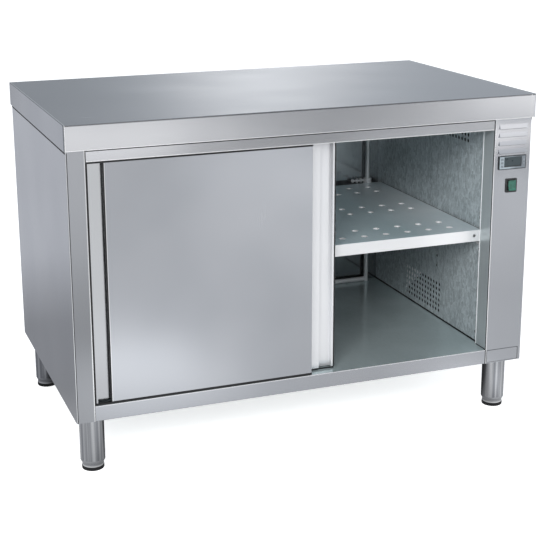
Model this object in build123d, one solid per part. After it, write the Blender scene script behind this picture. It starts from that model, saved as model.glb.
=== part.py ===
from build123d import *
import os
from math import floor

# A heated stainless cupboard table with two sliding doors, a perforated shelf and a control column.
# The origin is on the floor under the middle of the worktop: X to the right, Y to the back, Z up.
# All sizes are in millimetres.

# Overall size
WIDTH = 1200.0
DEPTH = 700.0
HEIGHT = 850.0

# Sheet metal
SKIN = 1.5              # stainless outer sheet
LINER = 1.2             # galvanised inner walls
DOOR_SKIN = 1.0         # stainless door sheet
TOP_FLANGE = 20.0       # fold along the panels' top edges
BOTTOM_FLANGE = 12.0    # fold along the panels' bottom edges
LINER_FLANGE = 15.0     # fold round the inner walls
SEAM = 1.0              # gap between sheets that lie in one plane
BEND = 1.2              # outside radius of the visible bends

# Worktop
TOP_EDGE = 60.0         # height of the folded edge
TOP_RETURN = 30.0       # inward fold under the edge
TOP_ROUND = 3.0         # vertical corners
CORE_BOARD = 18.0
CORE_GAP = 1.0          # board to the folded edge
OVER_FRONT = 10.0       # worktop past the body
OVER_SIDE = 4.0
OVER_BACK = 4.0
STIFFENER_WIDTH = 60.0
STIFFENER_COUNT = 3

# Body front
LEG_CLEAR = 140.0       # floor to the body
POST_WIDTH = 44.0
POST_RETURN = 14.0
COLUMN_WIDTH = 104.0
HEADER = 28.0
HEADER_FLANGE = 16.0
HEADER_HEM = 5.0
RAIL = 38.0
RAIL_RETURN = 20.0

# Doors
DOOR_OVERLAP = 58.0     # one door behind the other when both are shut
DOOR_THICK = 20.0
DOOR_RECESS = 3.0       # body front to the front door's face
LANE_GAP = 6.0          # between the two doors
DOOR_GAP = 3.5          # above and below a door
DOOR_END_GAP = 3.0      # closed door to the end of the opening
GRIP_LIP = 6.0
GRIP_WIDTH = 34.0
GRIP_DEPTH = 12.0
GRIP_SHOWN = 70.0       # stroke that the buffers keep back from the end of the opening
GROOVE_WIDTH = 8.0      # slot along the door's bottom edge
GROOVE_DEPTH = 16.0

# Door track, hangers and wheels
TRACK_SHEET = 1.5
WHEEL_RADIUS = 9.0
WHEEL_WIDTH = 6.0
WHEEL_HEADROOM = 1.7
ROLL_GAP = 0.3          # wheel to rail, strap to buffer
AXLE_RADIUS = 2.0
AXLE_HEAD = 3.6         # radius of the axle's head
AXLE_HEAD_THICK = 1.2
RUNNING = 0.05          # radial clearance of a running fit
SIDE_PLAY = 0.4         # end play of a wheel
STRAP_WIDTH = 24.0
STRAP_THICK = 2.0
STRAP_SET = 8.0         # door face to the strap
STRAP_CLEAR = 1.0       # strap to the rail's edge
HANGER_INSET = 80.0     # door box end to the hanger
BUFFER_LENGTH = 14.0
GUIDE_LENGTH = 30.0
GUIDE_FIN = 5.0
GUIDE_FIN_RISE = 10.0   # fin above the door's bottom edge
GUIDE_BASE = 12.0
GUIDE_CLEAR = 1.0       # base below the door's bottom edge

# Chamber
ZONE_GAP = 6.0          # rear door to the inner walls
RIGHT_WALL_SET = 8.0    # inner wall behind the edge of the opening
LEFT_WALL_SET = 4.0
GRILLE_PITCH = 16.4     # from column to column
GRILLE_ROW_PITCH = 15.2
GRILLE_HOLE = 5.2       # radius
GRILLE_COLUMNS = 13
LOWER_GRILLE_ROWS = 6
UPPER_GRILLE_ROWS = 4
LOWER_GRILLE_BACK = 321.0   # grille centre behind the inner wall's front edge
LOWER_GRILLE_RISE = 59.0    # grille centre above the floor
UPPER_GRILLE_BACK = 191.0
UPPER_GRILLE_DROP = 57.0    # grille centre below the ceiling
ROD_RADIUS = 6.5            # bright rods in the back corners
ROD_SIDE = 42.0             # rod to the inner wall
ROD_BACK = 14.5             # rod to the back panel

# Shelf
SHELF_RISE = 313.0      # floor to the shelf's top
SHELF_EDGE = 30.0
SHELF_HEM = 12.0
SHELF_SIDE_GAP = 5.0
SHELF_BACK_GAP = 30.0
SHELF_HOLE = 8.5        # radius
SHELF_COLLAR = 5.0      # flange round each hole, below the sheet
COLLAR_WALL = 1.0
SHELF_HOLE_PITCH = 61.0
SHELF_HOLE_MARGIN = 60.0
SHELF_ROW_PITCH = 58.0
SHELF_BAND_MARGIN = 79.0
EDGE_HOLE = 4.0         # radius, in the shelf's front edge
EDGE_HOLE_INSET = 19.0
CLIP_WIDTH = 20.0
CLIP_THICK = 2.0
CLIP_DROP = 14.0        # clip below the shelf
CLIP_BACK = 18.0        # front clip behind the shelf's front edge
CLIP_RING = 6.0         # wall of the ring on the rod
CLIP_RISE = 12.0        # ring above the shelf
THUMB_RADIUS = 3.0      # screw that clamps the ring
THUMB_LENGTH = 36.0     # ring to the middle of the screw's ball
THUMB_BALL = 5.5        # radius
THUMB_NUT = 7.0         # radius
THUMB_NUT_THICK = 5.0
THUMB_NUT_PLACES = (10.0, 22.5)     # nuts on the screw, from the ring
ROD_FIT = 0.05
SLOT_WIDTH = 3.0
SLOT_HEIGHT = 8.0
SLOT_PITCH = 50.0
SLOT_SPREAD = 14.0
SLOT_BACK_INSET = 54.0  # rear slots to the back panel

# Legs and feet
LEG_RADIUS = 30.0
LEG_WALL = 1.5
LEG_SIDE = 16.0         # leg to the body's side
LEG_FRONT = 25.0        # leg to the body's front
LEG_BACK = 31.0         # leg to the body's back
LEG_PLATE_RIM = 8.0
LEG_PLATE_THICK = 3.0
LEG_NUT_DROP = 44.0     # nut plate below the body
LEG_NUT_THICK = 6.0
FOOT_HEIGHT = 26.0      # floor to the leg tube
FOOT_BAND = 3.0         # straight band at the foot's top
FOOT_TAPER = 4.0
FOOT_NECK = 7.0         # straight part above the pad
FOOT_SPIGOT = 34.0
FOOT_FIT = 0.3
STEM_RADIUS = 8.0
STEM_ABOVE = 30.0       # stem past the nut plate
PAD_HEIGHT = 9.0
PAD_RADIUS = 27.0
PAD_ROUND = 2.0

# Controls on the column
LOUVRE_COUNT = 4
LOUVRE_PITCH = 21.0
LOUVRE_WIDTH = 79.0
LOUVRE_HEIGHT = 11.0
LOUVRE_OUT = 4.0
LOUVRE_DROP = 26.0      # first lip below the worktop
LOUVRE_SHEET = 1.0
PANEL_FIT = 0.3         # housing to its cut-out, button to its hole
CONTROL_WIDTH = 78.0
CONTROL_HEIGHT = 35.0
CONTROL_PROUD = 3.5
CONTROL_HOUSING_RIM = 3.0
CONTROL_DEPTH = 40.0
CONTROL_DROP = 113.0    # centre below the worktop
WINDOW_WIDTH = 50.0
WINDOW_HEIGHT = 25.0
WINDOW_SHIFT = 1.2
WINDOW_RAISE = 1.5
WINDOW_THICK = 1.5
BUTTON_WIDTH = 6.0
BUTTON_HEIGHT = 5.0
BUTTON_PROUD = 1.0
BUTTON_LENGTH = 5.0
BUTTON_TRAVEL = 0.8
BUTTON_PITCH = 9.0
BUTTON_LEFT = 30.0      # left column of buttons from the controller's centre
BUTTON_RIGHT = 32.5
SWITCH_WIDTH = 32.0
SWITCH_HEIGHT = 36.0
SWITCH_PROUD = 2.5
SWITCH_HOUSING_RIM = 2.0
SWITCH_DEPTH = 30.0
SWITCH_DROP = 173.0     # centre below the worktop
ROCKER_WIDTH = 21.0
ROCKER_HEIGHT = 26.0
ROCKER_OUT = 6.5        # pivot to the rocker's ends
ROCKER_WAIST = 5.0      # pivot to the rocker's middle
ROCKER_IN = 3.0
ROCKER_TAPER = 2.0
ROCKER_TILT = 7.0       # degrees, either way
ROCKER_POCKET = 9.0     # pocket behind the body's front
PIVOT_SET = 1.0         # pivot in front of the body's front
PIVOT_RADIUS = 1.5
PIVOT_LENGTH = 1.5

# Heating behind the right wall
HEATER_BAND = 22.0      # between the wall and the fan's scroll
FAN_SIDE_GAP = 6.0      # scroll to the side panel
FAN_SHEET = 1.2
FAN_GAP = 3.0           # impeller to scroll
FAN_END_GAP = 3.0       # impeller to the end plates
FAN_DISC = 1.5
FAN_BLADES = 14
FAN_BLADE_DEPTH = 7.0
FAN_BLADE_THICK = 1.0
FAN_BLADE_TURN = 35.0   # degrees from the radius
FAN_SHAFT = 3.0         # radius
MOTOR_SIZE = 46.0
MOTOR_LENGTH = 40.0
MOTOR_STAND_OFF = 5.0
MOTOR_POST = 3.0        # radius
MOTOR_POST_SPREAD = 15.0
SHAFT_INTO_MOTOR = 14.0
HEATER_RADIUS = 4.0
HEATER_SPREAD = 13.0    # half the distance between the two runs
HEATER_TAIL = 16.0      # cold ends past the end plate
ELECTRIC_SIDE = 34.0
ELECTRIC_DEPTH = 24.0
THERMOSTAT_DROP = 230.0
THERMOSTAT_BULB = 3.0
TERMINAL_WIDTH = 60.0
TERMINAL_RISE = 150.0
TERMINAL_WAYS = 5
TERMINAL_SCREW = 3.0

# Cable gland under the right-hand compartment
GLAND_BORE = 5.5        # radius
GLAND_THREAD = 10.0     # radius
GLAND_HEX = 14.0        # corner radius
GLAND_HEX_DROP = 22.0
GLAND_NUT = 5.0
GLAND_TAIL = 12.0       # thread above the floor
GLAND_FORWARD = 160.0   # gland in front of the back panel

# Screws
SCREW_RADIUS = 2.0
SCREW_HEAD = 4.0        # radius
SCREW_HEAD_THICK = 2.0
SCREW_LENGTH = 8.0
SCREW_FIT = 0.05
SCREW_INSET = 14.0      # wall screws from the wall's edges
BACK_SCREW_INSET = 8.0
BACK_SCREW_COUNT = 4    # along each long edge of the back panel

# Places that follow from the sizes
BODY_X = WIDTH / 2 - OVER_SIDE
BODY_FRONT = -DEPTH / 2 + OVER_FRONT
BODY_BACK = DEPTH / 2 - OVER_BACK
BODY_TOP = HEIGHT - TOP_EDGE
CEILING = BODY_TOP - SKIN
BACK_INNER = BODY_BACK - SKIN
SIDE_INNER = BODY_X - SKIN
FLOOR = LEG_CLEAR + RAIL
OPEN_LEFT = -BODY_X + POST_WIDTH
OPEN_RIGHT = BODY_X - COLUMN_WIDTH
HEADER_LOW = BODY_TOP - HEADER
COLUMN_X = (OPEN_RIGHT + BODY_X) / 2
WALL_FRONT = BODY_FRONT + DOOR_RECESS + 2 * DOOR_THICK + LANE_GAP + ZONE_GAP
RETURN_BACK = WALL_FRONT - SEAM
RIGHT_WALL = OPEN_RIGHT + RIGHT_WALL_SET
LEFT_WALL = OPEN_LEFT - LEFT_WALL_SET
BAY_LEFT = RIGHT_WALL + LINER

FRONT_LANE = BODY_FRONT + DOOR_RECESS
REAR_LANE = FRONT_LANE + DOOR_THICK + LANE_GAP
DOOR_LOW = FLOOR + DOOR_GAP
DOOR_HIGH = HEADER_LOW - DOOR_GAP
DOOR_WIDTH = (OPEN_RIGHT - OPEN_LEFT - 2 * DOOR_END_GAP + DOOR_OVERLAP) / 2
GRIP_ZONE = GRIP_LIP + GRIP_WIDTH
LEFT_DOOR_X = OPEN_LEFT + DOOR_END_GAP
RIGHT_DOOR_X = LEFT_DOOR_X + GRIP_SHOWN
DOOR_TRAVEL = OPEN_RIGHT - DOOR_END_GAP - DOOR_WIDTH - RIGHT_DOOR_X

TRACK_ROOF = CEILING - TRACK_SHEET
RAIL_TOP = TRACK_ROOF - WHEEL_HEADROOM - 2 * WHEEL_RADIUS - ROLL_GAP
AXLE_Z = RAIL_TOP + ROLL_GAP + WHEEL_RADIUS
STRAP_BACK = STRAP_SET + STRAP_THICK
WHEEL_FRONT = STRAP_BACK + SIDE_PLAY
WHEEL_BACK = WHEEL_FRONT + WHEEL_WIDTH

SHELF_TOP = FLOOR + SHELF_RISE
SHELF_LOW = SHELF_TOP - SHELF_EDGE
SHELF_LEFT = LEFT_WALL + SHELF_SIDE_GAP
SHELF_RIGHT = RIGHT_WALL - SHELF_SIDE_GAP
SHELF_REAR = BACK_INNER - SHELF_BACK_GAP
ROD_Y = BACK_INNER - ROD_BACK

LEG_X = BODY_X - LEG_SIDE - LEG_RADIUS
LEG_FRONT_Y = BODY_FRONT + LEG_FRONT + LEG_RADIUS
LEG_BACK_Y = BODY_BACK - LEG_BACK - LEG_RADIUS
LEG_PLACES = {
    "front_left": (-LEG_X, LEG_FRONT_Y),
    "front_right": (LEG_X, LEG_FRONT_Y),
    "rear_left": (-LEG_X, LEG_BACK_Y),
    "rear_right": (LEG_X, LEG_BACK_Y),
}

CONTROL_Z = BODY_TOP - CONTROL_DROP
CONTROL_FACE = BODY_FRONT - CONTROL_PROUD
SWITCH_Z = BODY_TOP - SWITCH_DROP
PIVOT_Y = BODY_FRONT - PIVOT_SET
BUTTON_PLACES = {
    "button_left_upper": (-BUTTON_LEFT, BUTTON_PITCH),
    "button_left_middle": (-BUTTON_LEFT, 0.0),
    "button_left_lower": (-BUTTON_LEFT, -BUTTON_PITCH),
    "button_right_upper": (BUTTON_RIGHT, BUTTON_PITCH / 2),
    "button_right_lower": (BUTTON_RIGHT, -BUTTON_PITCH / 2),
}

LOWER_GRILLE = (WALL_FRONT + LOWER_GRILLE_BACK, FLOOR + LOWER_GRILLE_RISE)
UPPER_GRILLE = (WALL_FRONT + UPPER_GRILLE_BACK, CEILING - UPPER_GRILLE_DROP)
FAN_LENGTH = (GRILLE_COLUMNS - 1) * GRILLE_PITCH
FAN_FRONT = LOWER_GRILLE[0] - FAN_LENGTH / 2
FAN_BACK = LOWER_GRILLE[0] + FAN_LENGTH / 2
SCROLL_OUTER = (SIDE_INNER - BAY_LEFT - HEATER_BAND - FAN_SIDE_GAP) / 2
SCROLL_INNER = SCROLL_OUTER - FAN_SHEET
FAN_RADIUS = SCROLL_INNER - FAN_GAP
FAN_X = SIDE_INNER - FAN_SIDE_GAP - SCROLL_OUTER
OUTLET_LOW = LOWER_GRILLE[1] - LOWER_GRILLE_ROWS * GRILLE_ROW_PITCH / 2
OUTLET_HIGH = LOWER_GRILLE[1] + LOWER_GRILLE_ROWS * GRILLE_ROW_PITCH / 2
FAN_Z = OUTLET_LOW + SCROLL_OUTER
PLATE_FRONT = FAN_FRONT - FAN_END_GAP
PLATE_BACK = FAN_BACK + FAN_END_GAP
HEATER_X = BAY_LEFT + HEATER_BAND / 2
GLAND_X = (BAY_LEFT + SIDE_INNER) / 2
GLAND_Y = BACK_INNER - GLAND_FORWARD


# Small makers

def block(xa, xb, ya, yb, za, zb):
    """Box between two corners, given in any order."""
    middle = Pos((xa + xb) / 2, (ya + yb) / 2, (za + zb) / 2)
    return middle * Box(abs(xb - xa), abs(yb - ya), abs(zb - za))


def rod_x(xa, xb, y, z, radius):
    """Round bar along X."""
    return Pos((xa + xb) / 2, y, z) * Rot(0, 90, 0) * Cylinder(radius, abs(xb - xa))


def rod_y(ya, yb, x, z, radius):
    """Round bar along Y."""
    return Pos(x, (ya + yb) / 2, z) * Rot(90, 0, 0) * Cylinder(radius, abs(yb - ya))


def rod_z(za, zb, x, y, radius):
    """Round bar along Z."""
    return Pos(x, y, (za + zb) / 2) * Cylinder(radius, abs(zb - za))


def group(solids):
    """Several separate solids kept as one piece of the list."""
    return Compound(children=list(solids))


def prism_x(points, xa, xb):
    """Outline of (y, z) points carried along X."""
    outline = Plane.YZ.offset(min(xa, xb)) * make_face(Polyline(*points, close=True))
    return extrude(outline, amount=abs(xb - xa), dir=(1, 0, 0))


def turned(points, x, y):
    """Outline of (radius, z) points turned about an upright axis."""
    outline = Plane.XZ * make_face(Polyline(*points, close=True))
    return Pos(x, y, 0) * revolve(outline, Axis.Z)


def bend_edges(solid, axis, radius, *places):
    """Round the edges along one axis that pass near the given (x, y, z) points."""
    edges = solid.edges().filter_by(axis)
    chosen = [min(edges, key=lambda edge: edge.distance_to(Vector(*place))) for place in places]
    return fillet(chosen, radius)


# Worktop

def make_worktop():
    """Tray turned upside down: top sheet, folded edge and inward return."""
    outer = block(-WIDTH / 2, WIDTH / 2, -DEPTH / 2, DEPTH / 2, BODY_TOP, HEIGHT)
    outer = fillet(outer.edges().filter_by(Axis.Z), TOP_ROUND)
    for end in (0, -1):
        outer = fillet(outer.faces().sort_by(Axis.Z)[end].edges(), BEND)
    side = WIDTH / 2 - SKIN
    front = DEPTH / 2 - SKIN
    inside = block(-side, side, -front, front, BODY_TOP + SKIN, HEIGHT - SKIN)
    mouth_x = WIDTH / 2 - TOP_RETURN
    mouth_y = DEPTH / 2 - TOP_RETURN
    mouth = block(-mouth_x, mouth_x, -mouth_y, mouth_y, BODY_TOP, BODY_TOP + SKIN)
    return outer - inside - mouth


def make_worktop_core():
    """Board glued under the top sheet."""
    side = WIDTH / 2 - SKIN - CORE_GAP
    front = DEPTH / 2 - SKIN - CORE_GAP
    return block(-side, side, -front, front, HEIGHT - SKIN - CORE_BOARD, HEIGHT - SKIN)


def make_worktop_stiffeners():
    """Hat channels between the ceiling and the board."""
    half_length = WIDTH / 2 - TOP_RETURN - SEAM
    top = HEIGHT - SKIN - CORE_BOARD
    pitch = (DEPTH - 2 * TOP_RETURN) / (STIFFENER_COUNT + 1)
    channels = []
    for number in range(STIFFENER_COUNT):
        y = (number - (STIFFENER_COUNT - 1) / 2) * pitch
        ya = y - STIFFENER_WIDTH / 2
        yb = y + STIFFENER_WIDTH / 2
        body = block(-half_length, half_length, ya, yb, BODY_TOP, top)
        hollow = block(-half_length, half_length, ya + SKIN, yb - SKIN, BODY_TOP, top - SKIN)
        channels.append(body - hollow)
    return group(channels)


# Outer panels

def side_flanges(side):
    """Folds along the top and the bottom of a side panel; side is -1 or 1."""
    edge = side * BODY_X
    top = block(edge, edge - side * TOP_FLANGE, BODY_FRONT + SKIN, BACK_INNER, CEILING, BODY_TOP)
    low = block(edge, edge - side * BOTTOM_FLANGE, BODY_FRONT + SKIN, BACK_INNER,
                LEG_CLEAR, LEG_CLEAR + SKIN)
    return top + low


def make_left_side_panel():
    """Side sheet with its folded front post."""
    sheet = block(-BODY_X, -SIDE_INNER, BODY_FRONT, BODY_BACK, LEG_CLEAR, BODY_TOP)
    post = block(-BODY_X, OPEN_LEFT, BODY_FRONT, BODY_FRONT + SKIN, LEG_CLEAR, BODY_TOP)
    fold = block(OPEN_LEFT - SKIN, OPEN_LEFT, BODY_FRONT, BODY_FRONT + POST_RETURN, FLOOR, CEILING)
    panel = sheet + post + side_flanges(-1) + fold
    return bend_edges(panel, Axis.Z, BEND, (-BODY_X, BODY_FRONT, HEIGHT / 2))


def make_right_side_panel():
    """Side sheet behind the control column."""
    sheet = block(SIDE_INNER, BODY_X, BODY_FRONT + SKIN, BODY_BACK, LEG_CLEAR, BODY_TOP)
    return sheet + side_flanges(1)


def back_screw_places():
    """Screw rows along the two long edges of the back panel."""
    reach = SIDE_INNER - 2 * BACK_SCREW_INSET - LINER_FLANGE
    rows = (LEG_CLEAR + BACK_SCREW_INSET + SKIN, BODY_TOP - BACK_SCREW_INSET - SKIN)
    step = 2 * reach / (BACK_SCREW_COUNT - 1)
    return [(-reach + number * step, z) for z in rows for number in range(BACK_SCREW_COUNT)]


def make_back_panel():
    """Single back sheet, folded at the top and the bottom."""
    sheet = block(-SIDE_INNER, SIDE_INNER, BACK_INNER, BODY_BACK, LEG_CLEAR, BODY_TOP)
    reach = BODY_X - TOP_FLANGE - SEAM
    top = block(-reach, reach, BODY_BACK - TOP_FLANGE, BACK_INNER, CEILING, BODY_TOP)
    low_reach = BODY_X - BOTTOM_FLANGE - SEAM
    low = block(-low_reach, low_reach, BODY_BACK - BOTTOM_FLANGE, BACK_INNER,
                LEG_CLEAR, LEG_CLEAR + SKIN)
    panel = sheet + top + low
    holes = [rod_y(BACK_INNER, BODY_BACK, x, z, SCREW_RADIUS) for x, z in back_screw_places()]
    return panel - holes


def louvre_lips():
    """Heights of the louvres' lower lips."""
    return [BODY_TOP - LOUVRE_DROP - number * LOUVRE_PITCH for number in range(LOUVRE_COUNT)]


def make_control_column():
    """Front sheet of the column, with its return into the doorway, louvres and cut-outs."""
    sheet = block(OPEN_RIGHT, BODY_X, BODY_FRONT, BODY_FRONT + SKIN, LEG_CLEAR, BODY_TOP)
    fold = block(OPEN_RIGHT, OPEN_RIGHT + SKIN, BODY_FRONT, RETURN_BACK, FLOOR, CEILING)
    column = bend_edges(sheet + fold, Axis.Z, BEND,
                        (OPEN_RIGHT, BODY_FRONT, HEIGHT / 2), (BODY_X, BODY_FRONT, HEIGHT / 2))
    half = LOUVRE_WIDTH / 2
    for lip in louvre_lips():
        hood = [(BODY_FRONT, lip + LOUVRE_HEIGHT), (BODY_FRONT - LOUVRE_OUT, lip), (BODY_FRONT, lip)]
        throat = [(BODY_FRONT, lip + LOUVRE_HEIGHT - 2 * LOUVRE_SHEET),
                  (BODY_FRONT - LOUVRE_OUT + LOUVRE_SHEET, lip), (BODY_FRONT, lip)]
        inner = half - LOUVRE_SHEET
        column += prism_x(hood, COLUMN_X - half, COLUMN_X + half)
        column -= prism_x(throat, COLUMN_X - inner, COLUMN_X + inner)
        column -= block(COLUMN_X - inner, COLUMN_X + inner, BODY_FRONT, BODY_FRONT + SKIN,
                        lip, lip + LOUVRE_HEIGHT - 2 * LOUVRE_SHEET)
    for width, height, z in (control_housing(), switch_housing()):
        column -= block(COLUMN_X - width / 2 - PANEL_FIT, COLUMN_X + width / 2 + PANEL_FIT,
                        BODY_FRONT, BODY_FRONT + SKIN,
                        z - height / 2 - PANEL_FIT, z + height / 2 + PANEL_FIT)
    return column


def make_header_fascia():
    """Front strip above the doors, folded at the top and hemmed below."""
    front = block(OPEN_LEFT, OPEN_RIGHT, BODY_FRONT, BODY_FRONT + SKIN, HEADER_LOW, BODY_TOP)
    top = block(OPEN_LEFT, OPEN_RIGHT, BODY_FRONT, BODY_FRONT + HEADER_FLANGE, CEILING, BODY_TOP)
    hem = block(OPEN_LEFT, OPEN_RIGHT, BODY_FRONT, BODY_FRONT + HEADER_HEM, HEADER_LOW, HEADER_LOW + SKIN)
    fascia = front + top + hem
    return bend_edges(fascia, Axis.X, BEND, (0, BODY_FRONT, HEADER_LOW))


def make_floor_pan():
    """Floor sheet with the front rail and downward folds at the sides and the back."""
    sheet = block(-SIDE_INNER, SIDE_INNER, BODY_FRONT + SKIN, BACK_INNER, FLOOR - SKIN, FLOOR)
    rail = block(OPEN_LEFT, OPEN_RIGHT, BODY_FRONT, BODY_FRONT + SKIN, LEG_CLEAR, FLOOR)
    back_fold = block(OPEN_LEFT, OPEN_RIGHT, BODY_FRONT, BODY_FRONT + RAIL_RETURN,
                      LEG_CLEAR, LEG_CLEAR + SKIN)
    low = LEG_CLEAR + SKIN + SEAM
    pan = sheet + rail + back_fold
    for side in (-1, 1):
        pan += block(side * SIDE_INNER, side * (SIDE_INNER - SKIN),
                     BODY_FRONT + SKIN, BACK_INNER, low, FLOOR)
    pan += block(-SIDE_INNER, SIDE_INNER, BACK_INNER - SKIN, BACK_INNER,
                 low + BACK_SCREW_INSET + SCREW_HEAD, FLOOR)
    pan -= rod_z(FLOOR - SKIN, FLOOR, GLAND_X, GLAND_Y, GLAND_THREAD)
    return bend_edges(pan, Axis.X, BEND, (0, BODY_FRONT, FLOOR), (0, BODY_FRONT, LEG_CLEAR))


def make_ceiling_panel():
    """Lining above the chamber, on the inner walls' top folds."""
    side = BODY_X - TOP_FLANGE - SEAM
    front = BODY_FRONT + HEADER_FLANGE + SEAM
    return block(-side, side, front, BODY_BACK - TOP_FLANGE - SEAM, CEILING, BODY_TOP)


# Inner walls

def grille_holes(centre, rows):
    """Centres of a perforated field of the right wall."""
    columns = GRILLE_COLUMNS
    return [(centre[0] + (column - (columns - 1) / 2) * GRILLE_PITCH,
             centre[1] + (row - (rows - 1) / 2) * GRILLE_ROW_PITCH)
            for column in range(columns) for row in range(rows)]


def slot_places():
    """Centres of the clip slots: two columns, three heights, two slots each."""
    columns = (WALL_FRONT + CLIP_BACK, BACK_INNER - SLOT_BACK_INSET)
    middle = SHELF_LOW + CLIP_DROP
    return [(y, middle + step * SLOT_PITCH + spread * SLOT_SPREAD / 2)
            for y in columns for step in (-1, 0, 1) for spread in (-1, 1)]


def wall_screw_places():
    """Screws that show on the right wall."""
    front = WALL_FRONT + SCREW_INSET
    pair_y = LOWER_GRILLE[0] - FAN_LENGTH / 2 + SCREW_INSET
    pair_z = LOWER_GRILLE[1] + LOWER_GRILLE_ROWS * GRILLE_ROW_PITCH
    low = FLOOR + 2 * SCREW_INSET
    high = CEILING - 2 * SCREW_INSET
    return [(front, low), (front, high), (pair_y, pair_z), (pair_y, pair_z + 2 * SCREW_INSET)]


def wall_folds(wall, outward, fold_end):
    """Folds round an inner wall, all turned away from the chamber."""
    rim = wall + outward * LINER_FLANGE
    front = block(wall, fold_end, WALL_FRONT, WALL_FRONT + LINER, FLOOR, CEILING)
    low = block(wall, rim, WALL_FRONT, BACK_INNER, FLOOR, FLOOR + LINER)
    high = block(wall, rim, WALL_FRONT, BACK_INNER, CEILING - LINER, CEILING)
    back = block(wall, rim, BACK_INNER - LINER, BACK_INNER, FLOOR, CEILING)
    return front + low + high + back


def make_inner_right_wall():
    """Galvanised wall with two air grilles, clip slots and screw holes."""
    sheet = Pos((WALL_FRONT + BACK_INNER) / 2, (FLOOR + CEILING) / 2) \
        * Rectangle(BACK_INNER - WALL_FRONT, CEILING - FLOOR)
    holes = grille_holes(LOWER_GRILLE, LOWER_GRILLE_ROWS) + grille_holes(UPPER_GRILLE, UPPER_GRILLE_ROWS)
    sheet -= [Pos(y, z) * Circle(GRILLE_HOLE) for y, z in holes]
    sheet -= [Pos(y, z) * Rectangle(SLOT_WIDTH, SLOT_HEIGHT) for y, z in slot_places()]
    sheet -= [Pos(y, z) * Circle(SCREW_RADIUS) for y, z in wall_screw_places()]
    wall = extrude(Plane.YZ.offset(RIGHT_WALL) * sheet, amount=LINER)
    return wall + wall_folds(RIGHT_WALL, 1, SIDE_INNER)


def make_inner_left_wall():
    """Galvanised wall on the insulated side, with the same clip slots."""
    sheet = Pos((WALL_FRONT + BACK_INNER) / 2, (FLOOR + CEILING) / 2) \
        * Rectangle(BACK_INNER - WALL_FRONT, CEILING - FLOOR)
    sheet -= [Pos(y, z) * Rectangle(SLOT_WIDTH, SLOT_HEIGHT) for y, z in slot_places()]
    wall = extrude(Plane.YZ.offset(LEFT_WALL - LINER) * sheet, amount=LINER)
    return wall + wall_folds(LEFT_WALL, -1, -SIDE_INNER)


def make_left_insulation():
    """Mineral wool between the left panel and the inner wall, inside the wall's folds."""
    return block(-SIDE_INNER, LEFT_WALL - LINER, WALL_FRONT + LINER, BACK_INNER - LINER,
                 FLOOR + LINER, CEILING - LINER)


# Door track and what guides the doors

def make_door_track():
    """Folded track with two lanes, each with a ledge that its wheels roll on."""
    front = BODY_FRONT + SKIN
    back = REAR_LANE + DOOR_THICK + TRACK_SHEET
    low = RAIL_TOP - TRACK_SHEET
    track = block(OPEN_LEFT, OPEN_RIGHT, front, back, TRACK_ROOF, CEILING)
    track += block(OPEN_LEFT, OPEN_RIGHT, front, front + TRACK_SHEET, low, CEILING)
    for lane in (FRONT_LANE, REAR_LANE):
        web = lane + DOOR_THICK
        track += block(OPEN_LEFT, OPEN_RIGHT, web, web + TRACK_SHEET, low, CEILING)
        track += block(OPEN_LEFT, OPEN_RIGHT, lane + STRAP_BACK + STRAP_CLEAR, web, low, RAIL_TOP)
    return track


def hanger_places(box_left, box_right):
    """Places along X of a door's two hangers."""
    return box_left + HANGER_INSET, box_right - HANGER_INSET


def lane_doors():
    """Per door: lane, left end of its box, right end of its box."""
    left_box = LEFT_DOOR_X + GRIP_ZONE
    return ((FRONT_LANE, left_box, LEFT_DOOR_X + DOOR_WIDTH),
            (REAR_LANE, RIGHT_DOOR_X, RIGHT_DOOR_X + DOOR_WIDTH - GRIP_ZONE))


def make_door_guides():
    """Nylon blocks on the floor whose fins run in the doors' bottom grooves."""
    guides = []
    for lane, box_left, box_right in lane_doors():
        x = (box_left + DOOR_TRAVEL + box_right) / 2
        y = lane + DOOR_THICK / 2
        xa = x - GUIDE_LENGTH / 2
        xb = x + GUIDE_LENGTH / 2
        base = block(xa, xb, y - GUIDE_BASE / 2, y + GUIDE_BASE / 2, FLOOR, DOOR_LOW - GUIDE_CLEAR)
        fin = block(xa, xb, y - GUIDE_FIN / 2, y + GUIDE_FIN / 2, FLOOR, DOOR_LOW + GUIDE_FIN_RISE)
        guides.append(base + fin)
    return group(guides)


def make_door_buffers():
    """Rubber blocks in the track that end each door's travel at its hanger straps."""
    webs = (BODY_FRONT + SKIN + TRACK_SHEET, FRONT_LANE + DOOR_THICK + TRACK_SHEET)
    reach = STRAP_WIDTH / 2 + ROLL_GAP
    buffers = []
    for web, (lane, box_left, box_right) in zip(webs, lane_doors()):
        first, last = hanger_places(box_left, box_right)
        for face, away in ((first - reach, -1), (last + DOOR_TRAVEL + reach, 1)):
            buffers.append(block(face, face + away * BUFFER_LENGTH, web, lane + STRAP_BACK,
                                 AXLE_Z - WHEEL_RADIUS / 2, TRACK_ROOF))
    return group(buffers)


# Doors

def make_door_front(lane, box_left, box_right):
    """Front tray of a door: face, two ends, top and a bottom hem."""
    back = lane + DOOR_THICK
    hem = (DOOR_THICK - GROOVE_WIDTH) / 2
    tray = block(box_left, box_right, lane, lane + DOOR_SKIN, DOOR_LOW, DOOR_HIGH)
    tray += block(box_left, box_left + DOOR_SKIN, lane, back, DOOR_LOW, DOOR_HIGH)
    tray += block(box_right - DOOR_SKIN, box_right, lane, back, DOOR_LOW, DOOR_HIGH)
    tray += block(box_left, box_right, lane, back, DOOR_HIGH - DOOR_SKIN, DOOR_HIGH)
    tray += block(box_left, box_right, lane, lane + hem, DOOR_LOW, DOOR_LOW + DOOR_SKIN)
    middle = (DOOR_LOW + DOOR_HIGH) / 2
    return bend_edges(tray, Axis.Z, BEND * DOOR_SKIN / SKIN,
                      (box_left, lane, middle), (box_right, lane, middle))


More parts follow.
